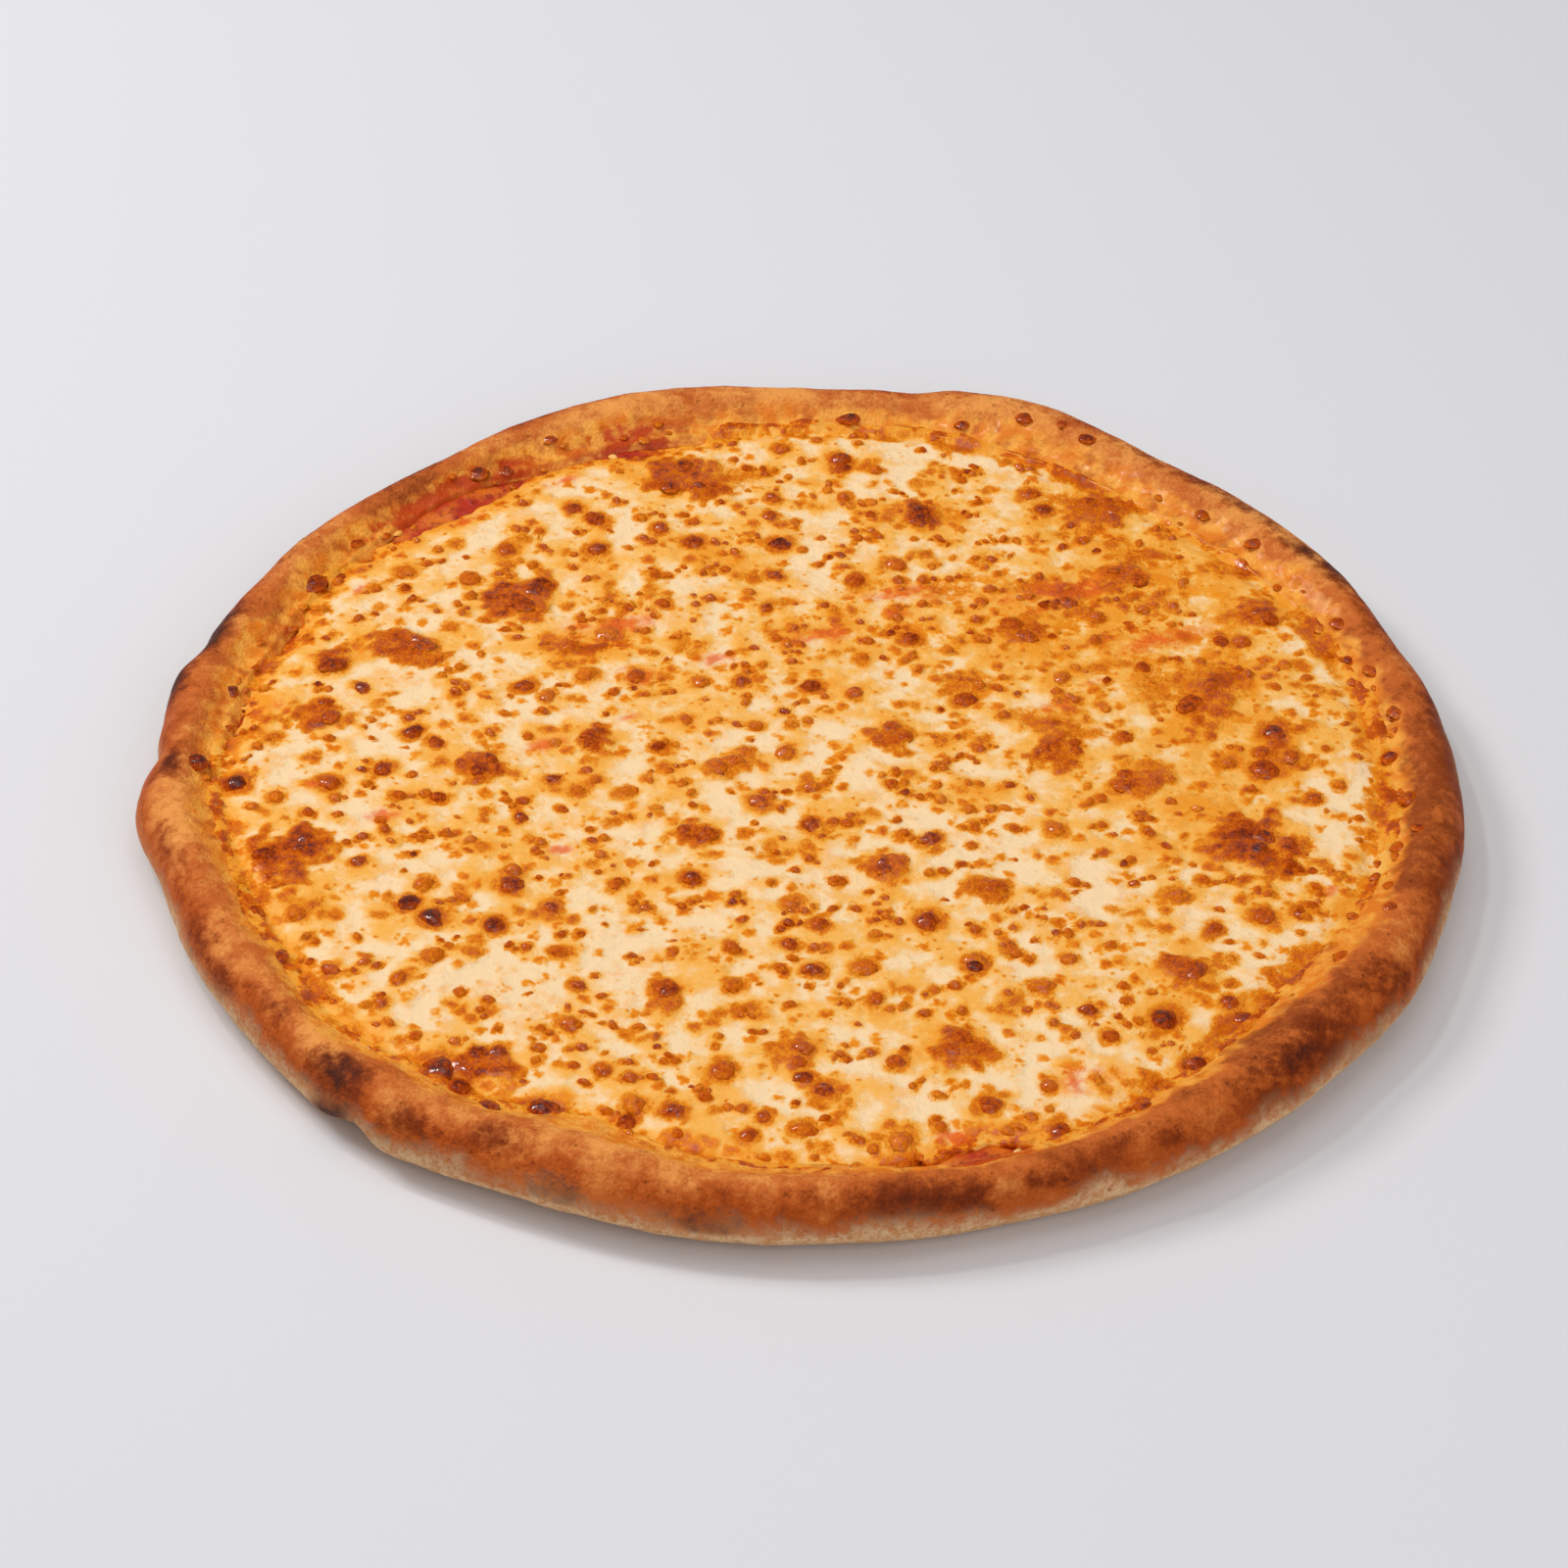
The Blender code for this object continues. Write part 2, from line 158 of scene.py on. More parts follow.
# Dark blisters as azimuth, radius in mm, width in mm, tone
NAMED_BLISTERS = [
    (159, 73, 5.5, 0.8), (211, 105, 6.5, 0.98), (215, 103, 7.0, 0.99), (298, 81, 5.0, 1.0),
    (270, 110, 5.0, 0.85), (266, 122, 4.5, 0.75), (250, 88, 6.0, 0.85), (267, 66, 4.5, 0.8),
    (167, 110, 5.0, 0.9), (185, 134, 7.0, 1.0), (183, 143, 6.0, 1.0), (201, 110, 4.5, 0.8),
    (95, 86, 6.0, 0.95), (86, 119, 5.5, 0.8), (96, 98, 4.5, 0.75), (121, 116, 5.0, 0.85),
    (45, 90, 5.0, 0.8), (27, 127, 5.0, 0.85), (26, 112, 5.0, 0.8), (7, 112, 7.0, 0.86),
    (0, 108, 8.0, 0.82), (2, 138, 5.5, 0.85), (355, 141, 6.0, 0.75), (328, 109, 5.5, 0.8),
    (312, 119, 7.5, 0.95), (319, 125, 5.0, 0.8), (310, 134, 6.0, 0.9), (318, 131, 6.0, 0.8),
    (335, 124, 4.5, 0.75), (294, 136, 6.5, 0.8), (289, 124, 6.0, 0.8), (237, 137, 6.0, 0.9),
    (234, 134, 9.0, 0.92), (245, 133, 7.5, 0.95), (237, 123, 5.5, 0.8), (238, 95, 4.5, 0.75),
    (33, 45, 6.0, 0.8), (221, 93, 6.0, 0.9), (215, 82, 6.0, 0.85), (175, 94, 6.0, 0.9),
    (143, 52, 6.0, 0.72), (257, 124, 6.0, 0.8), (253, 129, 5.5, 0.85), (60, 118, 5.0, 0.85),
    (188, 60, 4.5, 0.9), (199, 70, 4.5, 0.85), (118, 34, 4.5, 0.8), (100, 60, 4.5, 0.75),
]

# Browned dots on the rim's inner slope
SLOPE_DOTS = [
    (86, 141, 6.5, 0.9), (74, 143, 5.0, 0.85), (68, 147, 5.0, 0.85), (64, 148, 4.5, 0.8),
    (61, 146, 5.5, 0.9), (45, 140, 5.0, 0.8), (38, 141, 6.0, 0.8), (23, 141, 5.0, 0.8),
    (15, 141, 5.5, 0.75), (18, 138, 4.5, 0.85), (8, 142, 5.0, 0.8), (152, 139, 9.0, 0.9),
    (149, 136, 7.0, 0.85), (144, 140, 4.5, 0.8), (127, 141, 6.5, 0.9), (124, 139, 5.0, 0.85),
    (118, 143, 5.0, 0.8), (171, 140, 5.5, 0.9), (205, 138, 5.5, 0.8), (212, 139, 5.0, 0.85),
    (241, 140, 5.5, 0.9), (262, 139, 4.0, 0.7), (272, 141, 4.0, 0.85), (302, 139, 5.0, 0.8),
    (330, 139, 5.0, 0.75), (348, 140, 5.0, 0.7), (350, 144, 4.0, 0.85), (338, 143, 4.5, 0.8),
]

# Tints as azimuth, radius in mm, length and width in mm, turn in degrees, strength
RED_TINTS = [
    (134, 70, 30, 9, 15, 0.6), (143, 52, 10, 7, 0, 0.8), (89, 48, 22, 8, 15, 0.6),
    (120, 44, 12, 6, 0, 0.6), (193, 101, 9, 5, 10, 0.8), (211, 66, 6, 4, 0, 0.7),
    (176, 62, 12, 6, 20, 0.5), (299, 124, 22, 9, 10, 0.6), (120, 128, 12, 4, 30, 0.6),
    (132, 128, 12, 4, 40, 0.7), (150, 128, 9, 3, 60, 0.5), (70, 62, 10, 5, 0, 0.4),
    (47, 82, 9, 4, 0, 0.45), (25, 76, 9, 4, 20, 0.35), (340, 128, 6, 4, 60, 0.5),
    (284, 131, 9, 4, 5, 0.9), (172, 128, 8, 4, 80, 0.5), (186, 116, 5, 4, 0, 0.5),
    (100, 50, 6, 4, 0, 0.5), (160, 45, 8, 4, 30, 0.35), (310, 90, 5, 3, 0, 0.35),
    (244, 60, 4, 3, 0, 0.3), (48, 92, 44, 12, 15, 0.45), (30, 98, 30, 10, 20, 0.45),
    (70, 70, 34, 10, 10, 0.4), (20, 62, 20, 8, 10, 0.35),
]
FILM_TINTS = [
    (35, 95, 38, 18, 20, 0.9), (50, 118, 34, 12, 140, 0.85), (20, 108, 26, 16, 100, 0.7),
    (40, 96, 100, 70, 40, 0.5), (62, 60, 70, 40, 10, 0.38), (0, 96, 44, 70, 0, 0.42),
    (140, 66, 34, 12, 5, 0.9), (89, 52, 30, 12, 10, 0.75), (75, 104, 30, 11, 0, 0.6),
    (106, 118, 24, 8, 5, 0.6), (3, 112, 16, 12, 90, 0.6), (355, 90, 18, 10, 60, 0.3),
    (197, 124, 16, 8, 60, 0.4), (299, 120, 16, 8, 10, 0.5), (267, 133, 22, 4, 0, 0.5),
    (285, 104, 16, 5, 0, 0.5), (160, 118, 16, 6, 70, 0.5), (335, 122, 14, 6, 60, 0.35),
    (316, 118, 14, 8, 40, 0.4), (245, 128, 20, 4, 0, 0.4), (230, 118, 14, 6, 120, 0.3),
    (183, 84, 10, 6, 0, 0.4), (60, 84, 24, 8, 10, 0.4), (150, 96, 14, 10, 60, 0.35),
    (124, 88, 16, 6, 0, 0.3),
]
YELLOW_TINTS = [
    (106, 82, 26, 12, 0, 0.9), (150, 40, 30, 12, 10, 0.6), (200, 40, 30, 14, 10, 0.6),
    (215, 80, 34, 12, 0, 0.7), (230, 60, 30, 12, 0, 0.5), (260, 60, 22, 10, 0, 0.4),
    (345, 40, 24, 10, 0, 0.5), (320, 90, 24, 10, 20, 0.4), (80, 30, 26, 10, 0, 0.5),
    (130, 100, 22, 10, 10, 0.5), (190, 92, 20, 10, 0, 0.4), (60, 112, 22, 10, 0, 0.5),
    (340, 92, 22, 10, 0, 0.4), (280, 90, 24, 8, 0, 0.4), (205, 118, 18, 8, 60, 0.5),
    (10, 80, 20, 10, 0, 0.4),
]

# Browned smears of the cheese, as the tints
SMEARS = [
    (74, 103, 22, 12, 0, 0.5), (49, 91, 28, 8, -8, 0.62), (56, 128, 34, 9, -6, 0.52),
    (45, 118, 24, 7, 0, 0.58), (39, 104, 20, 6, 0, 0.52), (19, 98, 36, 20, 15, 0.5),
    (15, 60, 28, 10, -15, 0.6), (8, 116, 20, 7, -5, 0.6), (359, 79, 18, 12, 0, 0.5),
    (38, 49, 16, 9, 0, 0.56), (103, 117, 36, 11, 5, 0.5), (28, 82, 18, 7, 10, 0.5),
    (64, 76, 18, 6, -5, 0.48), (345, 108, 34, 14, -5, 0.45), (30, 119, 16, 8, 100, 0.5),
    (96, 62, 14, 6, 0, 0.4),
]

# Scorches as azimuth, place across the rim, half-length in mm, half-width across, strength
SCORCHES = [
    (280, 0.78, 24, 0.20, 0.66), (291, 0.74, 11, 0.16, 0.5), (317, 0.72, 17, 0.26, 0.72),
    (305, 0.80, 12, 0.16, 0.5), (262, 0.95, 16, 0.16, 0.6), (250, 0.90, 11, 0.14, 0.55),
    (228, 0.70, 10, 0.3, 1.0), (229, 1.1, 7, 0.34, 1.1), (236, 0.80, 10, 0.20, 0.7),
    (244, 0.66, 10, 0.16, 0.5), (164, 0.74, 15, 0.24, 1.25), (171, 0.84, 9, 0.24, 1.25),
    (131, 0.72, 18, 0.12, 0.62), (30, 0.70, 13, 0.18, 0.8), (339, 0.62, 9, 0.16, 0.5),
    (330, 0.78, 12, 0.2, 0.6), (44, 0.64, 34, 0.12, 0.7), (28, 0.9, 26, 0.2, 0.75),
    (55, 0.62, 12, 0.1, 0.6), (34, 0.62, 12, 0.16, 0.85), (118, 0.7, 12, 0.1, 0.5),
    (210, 0.84, 24, 0.22, 0.55), (184, 0.58, 8, 0.16, 0.8), (196, 0.72, 14, 0.2, 0.45),
    (352, 0.86, 14, 0.16, 0.5), (8, 0.74, 9, 0.14, 0.45), (272, 0.66, 9, 0.12, 0.4),
    (346, 0.70, 8, 0.12, 0.4), (100, 0.72, 16, 0.1, 0.45), (84, 0.7, 12, 0.1, 0.42),
    (148, 0.72, 16, 0.14, 0.62), (72, 0.72, 12, 0.1, 0.45), (218, 0.62, 9, 0.16, 0.5),
    (300, 0.60, 9, 0.12, 0.45), (324, 1.0, 10, 0.16, 0.5),
]
# How brown the top of the rim is, as azimuth, amount, half-width in degrees
RIM_TANS = [
    (205, 0.25, 30), (235, 0.35, 24), (280, 0.55, 34), (318, 0.75, 32), (352, 0.9, 28),
    (18, 0.45, 24), (165, 0.55, 24), (135, 0.72, 24), (100, 0.1, 22), (60, 0.15, 26),
    (250, -0.1, 12),
]

Spot = namedtuple("Spot", "x y half aspect turn height tone")


def linear(red, green, blue):
    """A screen colour as the linear values that shaders use."""
    return tuple(((c / 255 + 0.055) / 1.055) ** 2.4 for c in (red, green, blue))


def size_property(name, description, default):
    """A length that the user can change."""
    return bpy.props.FloatProperty(name=name, description=description, default=default, min=0,
                                   precision=5, subtype="DISTANCE", unit="LENGTH")


def colour_property(name, description, *shade):
    """A colour that the user can change."""
    return bpy.props.FloatVectorProperty(name=name, description=description, default=linear(*shade),
                                         size=3, min=0, max=1, subtype="COLOR")


def count_property(name, description, default):
    """A number of things that the user can change."""
    return bpy.props.IntProperty(name=name, description=description, default=default, min=1)


def share_property(name, description, default):
    """A share from 0 to 1 that the user can change."""
    return bpy.props.FloatProperty(name=name, description=description, default=default,
                                   min=0, max=1, subtype="FACTOR")


def power_property(name, description, default):
    """A light's power that the user can change."""
    return bpy.props.FloatProperty(name=name, description=description, default=default,
                                   min=0, subtype="POWER", unit="POWER")


def angle_property(name, description, degrees):
    """An angle that the user can change."""
    return bpy.props.FloatProperty(name=name, description=description,
                                   default=math.radians(degrees), subtype="ANGLE", unit="ROTATION")


# Shapes
def smooth_step(value):
    """Ease from 0 to 1."""
    value = np.clip(value, 0, 1)
    return value * value * (3 - 2 * value)


def turn_from(azimuth, centre):
    """Signed turn in degrees from a centre."""
    return (azimuth - centre + 180) % 360 - 180


def swell(azimuth, swells):
    """Sum of rounded swells at each azimuth, in metres."""
    total = np.zeros_like(azimuth, dtype=float)
    for centre, amount, half_width in swells:
        offset = np.minimum(np.abs(turn_from(azimuth, centre)) / half_width, 1)
        total = total + amount * MM * 0.5 * (1 + np.cos(np.pi * offset))
    return total


def polar(points):
    """Azimuth in degrees and radius of each point."""
    x, y = points[:, 0], points[:, 1]
    return np.degrees(np.arctan2(y, x)) % 360, np.hypot(x, y)


def level_point(azimuth, radius):
    """X and Y of a point at an azimuth and a radius."""
    return radius * math.cos(math.radians(azimuth)), radius * math.sin(math.radians(azimuth))


def outer_radius(azimuth):
    """Radius of the rim's outside."""
    return OUTER_R + swell(azimuth, OUTLINE_SWELLS)


def foot_radius(azimuth):
    """Radius where the rim's inner slope starts."""
    return FOOT_R + swell(azimuth, FOOT_SWELLS)


def window_depth(azimuth):
    """How far the cheese stops short of its usual edge."""
    return np.minimum(swell(azimuth, SAUCE_WINDOWS), WINDOW_DEPTH)


def cheese_edge(azimuth):
    """Radius of the edge of the cheese solid."""
    return foot_radius(azimuth) - CHEESE_EDGE_GAP - window_depth(azimuth)


def noise_at(points, size, seed=0):
    """Smooth noise from about -1 to 1 at each point."""
    shifted = points / size + np.array([seed * 7.31, seed * 3.17, seed * 5.23])
    return np.array([noise.noise(Vector(point)) for point in shifted])


def flattened(points):
    """Points at height 0, where noise depends on the azimuth and radius alone."""
    return points * np.array([1, 1, 0])


def well_wall_radius(height):
    """Nominal radius of the sloping wall of the well at a height."""
    return FOOT_R - WELL_WALL * (FOOT_Z - height) / (FOOT_Z - FLOOR_Z)


def crust_height(azimuth, radius):
    """Height of the well's wall and the rim's inner slope, without its relief."""
    foot = foot_radius(azimuth)
    beyond = (radius - foot) * (OUTER_R - FOOT_R) / (outer_radius(azimuth) - foot)
    nominal = np.where(radius < foot, radius * FOOT_R / foot, FOOT_R + beyond)
    wall = FOOT_Z - (FOOT_R - nominal) * (FOOT_Z - FLOOR_Z) / WELL_WALL
    share = np.clip((nominal - FOOT_R) / (CREST_R - FOOT_R), 0, 1)
    slope = FOOT_Z + 0.5 * (1 - np.cos(np.pi * share)) * (CREST_Z - FOOT_Z)
    slope = slope * (1 + smooth_step(share) * swell(azimuth, CREST_SWELLS) / CREST_Z)
    return np.where(radius < foot, np.maximum(wall, FLOOR_Z), slope)


def slope_lumps(points, across, strength):
    """Lumps of baked oil and cheese on the inner slope."""
    level = flattened(points)
    inner = smooth_step((across + 0.05) / 0.1) * smooth_step((0.55 - across) / 0.3)
    broad = np.maximum(noise_at(level, 7 * MM, 3), 0)
    return inner * strength * (1.2 * broad + 0.25 * noise_at(level, 3 * MM, 4))


def coordinates(mesh):
    """Vertex places of a mesh as an array."""
    places = np.empty(len(mesh.vertices) * 3)
    mesh.vertices.foreach_get("co", places)
    return places.reshape(-1, 3)


def normals(mesh):
    """Vertex normals of a mesh as an array."""
    mesh.update()
    directions = np.empty(len(mesh.vertices) * 3)
    mesh.vertices.foreach_get("normal", directions)
    return directions.reshape(-1, 3)


def place_vertices(mesh, places):
    """Move the vertices of a mesh."""
    mesh.vertices.foreach_set("co", np.ascontiguousarray(places, dtype=np.float32).ravel())
    mesh.update()


def paint(mesh, **layers):
    """Write a number to each vertex, in one attribute for each name."""
    for name, values in layers.items():
        attribute = mesh.attributes.new(name, "FLOAT", "POINT")
        attribute.data.foreach_set("value", np.ascontiguousarray(values, dtype=np.float32))


def mesh_from(bm, name):
    """Turn a bmesh into a smooth-shaded mesh."""
    mesh = bpy.data.meshes.new(name)
    bm.to_mesh(mesh)
    bm.free()
    mesh.shade_smooth()
    return mesh


def turn_outward(mesh):
    """Turn every face of a closed mesh to the outside."""
    bm = bmesh.new()
    bm.from_mesh(mesh)
    bmesh.ops.recalc_face_normals(bm, faces=bm.faces)
    bm.to_mesh(mesh)
    bm.free()


def turned(name, profile, steps):
    """Wrap a grid round the Z axis along a profile, and close its seam and poles."""
    bm = bmesh.new()
    rows = len(profile) - 1
    bmesh.ops.create_grid(bm, x_segments=steps, y_segments=rows, size=1)
    for vertex in bm.verts:
        angle = math.pi * vertex.co.x
        radius, height = profile[round((vertex.co.y + 1) / 2 * rows)]
        vertex.co = (radius * math.cos(angle), radius * math.sin(angle), height)
    bmesh.ops.remove_doubles(bm, verts=bm.verts, dist=0.01 * MM)
    bmesh.ops.recalc_face_normals(bm, faces=bm.faces)
    return mesh_from(bm, name)


def hand_shaped(points):
    """Move the points of a round layer to the pizza's uneven outline."""
    azimuth, radius = polar(points)
    foot = foot_radius(azimuth)
    inner = radius * foot / FOOT_R
    outer = foot + (radius - FOOT_R) * (outer_radius(azimuth) - foot) / (OUTER_R - FOOT_R)
    moved = np.where(radius <= FOOT_R, inner, outer) / np.maximum(radius, 1e-9)
    return points * np.column_stack([moved, moved, np.ones_like(moved)])


def add_piece(name, mesh, finish, slot, *nodes):
    """Link a mesh as a piece that rides on the pizza."""
    piece = bpy.data.objects.new(name, mesh)
    mesh.materials.append(finish)
    bpy.context.scene.collection.objects.link(piece)
    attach(piece, "root")
    if nodes:
        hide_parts(*nodes)
    return piece


# Crust
def arc(centre, radii, start, end, steps):
    """Points of an elliptical arc, without its first point."""
    angles = np.radians(np.linspace(start, end, steps + 1)[1:])
    return list(zip(centre[0] + radii[0] * np.cos(angles), centre[1] + radii[1] * np.sin(angles)))


def crust_profile(settings):
    """From the middle of the well over the rim and back along the underside."""
    profile = [(0, FLOOR_Z), (0.6 * FOOT_R, FLOOR_Z)]
    profile += [(well_wall_radius(height), height) for height in np.linspace(FLOOR_Z, FOOT_Z, 7)]
    share = np.linspace(0, 1, settings.slope_steps + 1)[1:]
    rise = 0.5 * (1 - np.cos(np.pi * share))
    profile += list(zip(FOOT_R + share * (CREST_R - FOOT_R), FOOT_Z + rise * (CREST_Z - FOOT_Z)))
    top, under = (OUTER_R - CREST_R, CREST_Z - WIDEST_Z), (UNDERCUT, WIDEST_Z)
    profile += arc((CREST_R, WIDEST_Z), top, 90, 0, settings.top_steps)
    profile += arc((OUTER_R - UNDERCUT, WIDEST_Z), under, 0, -90, settings.under_steps)
    return profile + [(0.8 * FOOT_R, 0), (0.4 * FOOT_R, 0), (0, 0)]


def place_across(points):
    """Place across the rim: 0 at the foot, 1 at the widest line, 2 underneath."""
    radius = polar(points)[1]
    height = points[:, 2]
    slope = CREST_ACROSS * (radius - FOOT_R) / (CREST_R - FOOT_R)
    top = np.degrees(np.arctan2((height - WIDEST_Z) / (CREST_Z - WIDEST_Z),
                                (radius - CREST_R) / (OUTER_R - CREST_R)))
    under = np.degrees(np.arctan2((WIDEST_Z - height) / WIDEST_Z,
                                  np.maximum(radius - OUTER_R + UNDERCUT, 0) / UNDERCUT))
    across = np.where(radius < CREST_R, slope, CREST_ACROSS + (1 - CREST_ACROSS) * (1 - top / 90))
    across = np.where(height < WIDEST_Z - 0.01 * MM, 1 + under / 90, across)
    inside = (radius < FOOT_R) & (height > FLOOR_Z - 0.01 * MM)
    return np.where(inside, np.maximum(slope, -0.3), across)


def dent_depth(points):
    """Depth of the hand-made dents in the rim."""
    azimuth, radius = polar(points)
    depth = np.zeros(len(points))
    for centre, height, amount, half_width in RIM_DENTS:
        along = np.radians(turn_from(azimuth, centre)) * radius
        distance = np.hypot(along, points[:, 2] - height * MM) / (half_width * MM)
        depth += amount * MM * smooth_step(1 - distance)
    return depth


def rim_relief(points, across, settings):
    """Height of the rim's bumps: the solid's broad ones, and finer ones on them."""
    azimuth, radius = polar(points)
    foot = foot_radius(azimuth)
    share = (radius - foot) / (outer_radius(azimuth) - foot)
    fade = smooth_step(share / RELIEF_FOOT_SHARE)
    fade = fade * smooth_step((points[:, 2] - RELIEF_START_Z) / RELIEF_FADE)
    relief = fade * (RIM_RELIEF * noise_at(points, RIM_RELIEF_SIZE) - dent_depth(points))
    skin = noise_at(points, 8 * MM, 1) + 0.45 * noise_at(points, 3.2 * MM, 2)
    skin = settings.skin_relief * skin
    skin += 0.16 * settings.skin_relief * noise_at(points, 1.5 * MM, 5)
    outer = smooth_step((across - 0.15) / 0.3) * smooth_step((2.0 - across) / 0.3)
    return relief + skin * outer + slope_lumps(points, across, settings.slope_relief)


def scorch_at(points, across):
    """How scorched the rim is at each point."""
    azimuth, radius = polar(points)
    total = np.zeros(len(points))
    for centre, middle, half_length, half_width, strength in SCORCHES:
        along = np.radians(turn_from(azimuth, centre)) * radius / (half_length * MM)
        distance = np.hypot(along, (across - middle) / half_width)
        total = np.maximum(total, strength * np.exp(-1.1 * distance ** 2))
    return total


class CrustSettings(bpy.types.PropertyGroup):
    """Sizes and colours of the crust."""

    steps: count_property("Steps round", "Cells of the mesh round the rim", 840)
    slope_steps: count_property("Slope steps", "Cells up the inner slope", 18)
    top_steps: count_property("Top steps", "Cells from the crest to the widest line", 26)
    under_steps: count_property("Under steps", "Cells from the widest line to the underside", 28)
    skin_relief: size_property("Skin relief", "Height of the uneven skin", 0.2 * MM)
    slope_relief: size_property("Slope relief", "Height of the lumps on the inner slope", 0.9 * MM)
    yellow: colour_property("Yellow", "Pale lumps on the inner slope", 252, 172, 68)
    golden: colour_property("Golden", "Oily inner slope", 236, 130, 30)
    # Light top: lightly baked crust, and partly a painted highlight where the crest faces the light
    light: colour_property("Light", "Lightly baked top", 241, 158, 78)
    rosy: colour_property("Rosy", "Browned top", 204, 104, 42)
    # Brown outer side: browned crust, and partly painted shade where the side turns from the light
    brown: colour_property("Brown", "Browned outer side", 180, 78, 20)
    dark: colour_property("Dark", "Darkest baked places", 108, 38, 8)
    char: colour_property("Char", "Scorched places", 58, 30, 24)
    flank: colour_property("Flank", "Pale lower side", 210, 150, 96)
    flour: colour_property("Flour", "Floury bloom", 228, 188, 144)
    sauce: colour_property("Sauce", "Sauce that stains the inner slope", 192, 58, 14)


class PIZZA_OT_baked_crust(bpy.types.Operator):
    """Puffed, hand-formed rim with its browned skin and the base under the filling"""

    bl_idname = "pizza.baked_crust"
    bl_label = "Baked Crust"

    def execute(self, context):
        settings = context.scene.pizza_crust
        mesh = turned("baked_crust", crust_profile(settings), settings.steps)
        points = coordinates(mesh)
        across = place_across(points)
        azimuth, radius = polar(points)
        share = smooth_step((radius - FOOT_R) / (CREST_R - FOOT_R))
        points[:, 2] *= 1 + share * swell(azimuth, CREST_SWELLS) / CREST_Z
        points = hand_shaped(points)
        place_vertices(mesh, points)
        azimuth = polar(points)[0]
        relief = rim_relief(points, across, settings)
        points += normals(mesh) * relief[:, None]
        points[:, 2] = np.maximum(points[:, 2], 0)
        place_vertices(mesh, points)
        stain = window_depth(azimuth) / WINDOW_DEPTH * smooth_step((0.42 - across) / 0.3)
        paint(mesh, across=across, scorch=scorch_at(points, across),
              tan=swell(azimuth, RIM_TANS) / MM, stain=stain)
        add_piece("baked_crust", mesh, dough_finish(settings), "baked_dough", "crust")
        return {"FINISHED"}


# Sauce
class SauceSettings(bpy.types.PropertyGroup):
    """Sizes and colours of the sauce."""

    steps: count_property("Steps round", "Cells of the mesh round the sauce", 540)
    lump: size_property("Lump height", "Height of the tomato lumps", 0.6 * MM)
    red: colour_property("Red", "Tomato sauce", 186, 44, 10)
    orange: colour_property("Orange", "Oil on the sauce", 224, 112, 20)
    deep: colour_property("Deep", "Thick, dark sauce", 132, 22, 8)


class PIZZA_OT_sauce_layer(bpy.types.Operator):
    """Sauce that shows where the cheese stops short of the rim"""

    bl_idname = "pizza.sauce_layer"
    bl_label = "Sauce Layer"

    def execute(self, context):
        settings = context.scene.pizza_sauce
        floor_z = FLOOR_Z + 0.3 * MM
        edge = well_wall_radius(SAUCE_TOP_Z)
        shares = np.concatenate([[0, 0.5, 0.8], np.linspace(0.88, 1, 26)])
        profile = [(share * edge, SAUCE_TOP_Z) for share in shares]
        profile += [(well_wall_radius(floor_z) - 0.3 * MM, floor_z), (0.4 * edge, floor_z)]
        profile += [(0, floor_z)]
        mesh = turned("sauce_layer", profile, settings.steps)
        points = coordinates(mesh)
        top = points[:, 2] > SAUCE_TOP_Z - 0.01 * MM
        points = hand_shaped(points)
        azimuth, radius = polar(points)
        depth = window_depth(azimuth)
        open_share = np.maximum(depth / WINDOW_DEPTH - WINDOW_START, 0) / (1 - WINDOW_START)
        reach = smooth_step((radius - cheese_edge(azimuth) + 3 * MM) / (4 * MM)) * open_share
        lumps = noise_at(points, 4.5 * MM, 8) + 0.5 * noise_at(points, 1.8 * MM, 9)
        rise = (SAUCE_RISE + settings.lump * lumps) * reach
        edge_r = foot_radius(azimuth) * edge / FOOT_R
        climb = smooth_step((radius - edge_r + 3 * MM) / (3 * MM)) * open_share
        points[:, 2] += np.where(top, rise + 0.6 * MM * climb, 0)
        widen = np.where(top, 1 + climb * 1.6 * MM / np.maximum(radius, 1 * MM), 1)
        points[:, :2] *= widen[:, None]
        place_vertices(mesh, points)
        add_piece("sauce_layer", mesh, sauce_finish(settings), "tomato_sauce", "sauce")
        return {"FINISHED"}


# Browning
def solid_spots():
    """The raised places of the cheese solid, by the same seeded draws as the part."""
    draw = random.Random(SEED)
    patches, lumps, blisters = [], [], []
    for (azimuth, radius, width), tone in zip(PATCHES, PATCH_TONES):
        x, y = level_point(azimuth, radius * MM)
        half = width / 2 * MM
        aspect, turn = draw.uniform(*PATCH_ROUNDNESS), draw.uniform(0, 180)
        patches.append(Spot(x, y, half, aspect, turn, PATCH_HEIGHT, tone))
        for _ in range(round(width * LUMPS_PER_MM)):
            turn = draw.uniform(0, 360)
            dx, dy = level_point(turn, width * MM * draw.uniform(*LUMP_REACH))
            half = draw.uniform(*LUMP_WIDTH) / 2 * MM
            height = draw.uniform(*LUMP_HEIGHT) * MM
            lumps.append(Spot(x + dx, y + dy, half, draw.uniform(*BLISTER_ROUNDNESS),
                              draw.uniform(0, 180), height, tone + 0.04))
    while len(blisters) < BLISTER_COUNT:
        azimuth, radius = draw.uniform(0, 360), FOOT_R * math.sqrt(draw.random())
        x, y = level_point(azimuth, radius)
        half = draw.uniform(*BLISTER_WIDTH) / 2 * MM
        inside = radius < cheese_edge(np.array([azimuth]))[0] - half - EDGE_MARGIN
        apart = all(math.hypot(x - other.x, y - other.y) > BLISTER_SPACING / 2 + other.half
                    for other in patches + lumps + blisters)
        if inside and apart:
            aspect, height = draw.uniform(*BLISTER_ROUNDNESS), draw.uniform(*BLISTER_HEIGHT) * MM
            blisters.append(Spot(x, y, half, aspect, draw.uniform(0, 180), height, 0))
    return patches, lumps, blisters


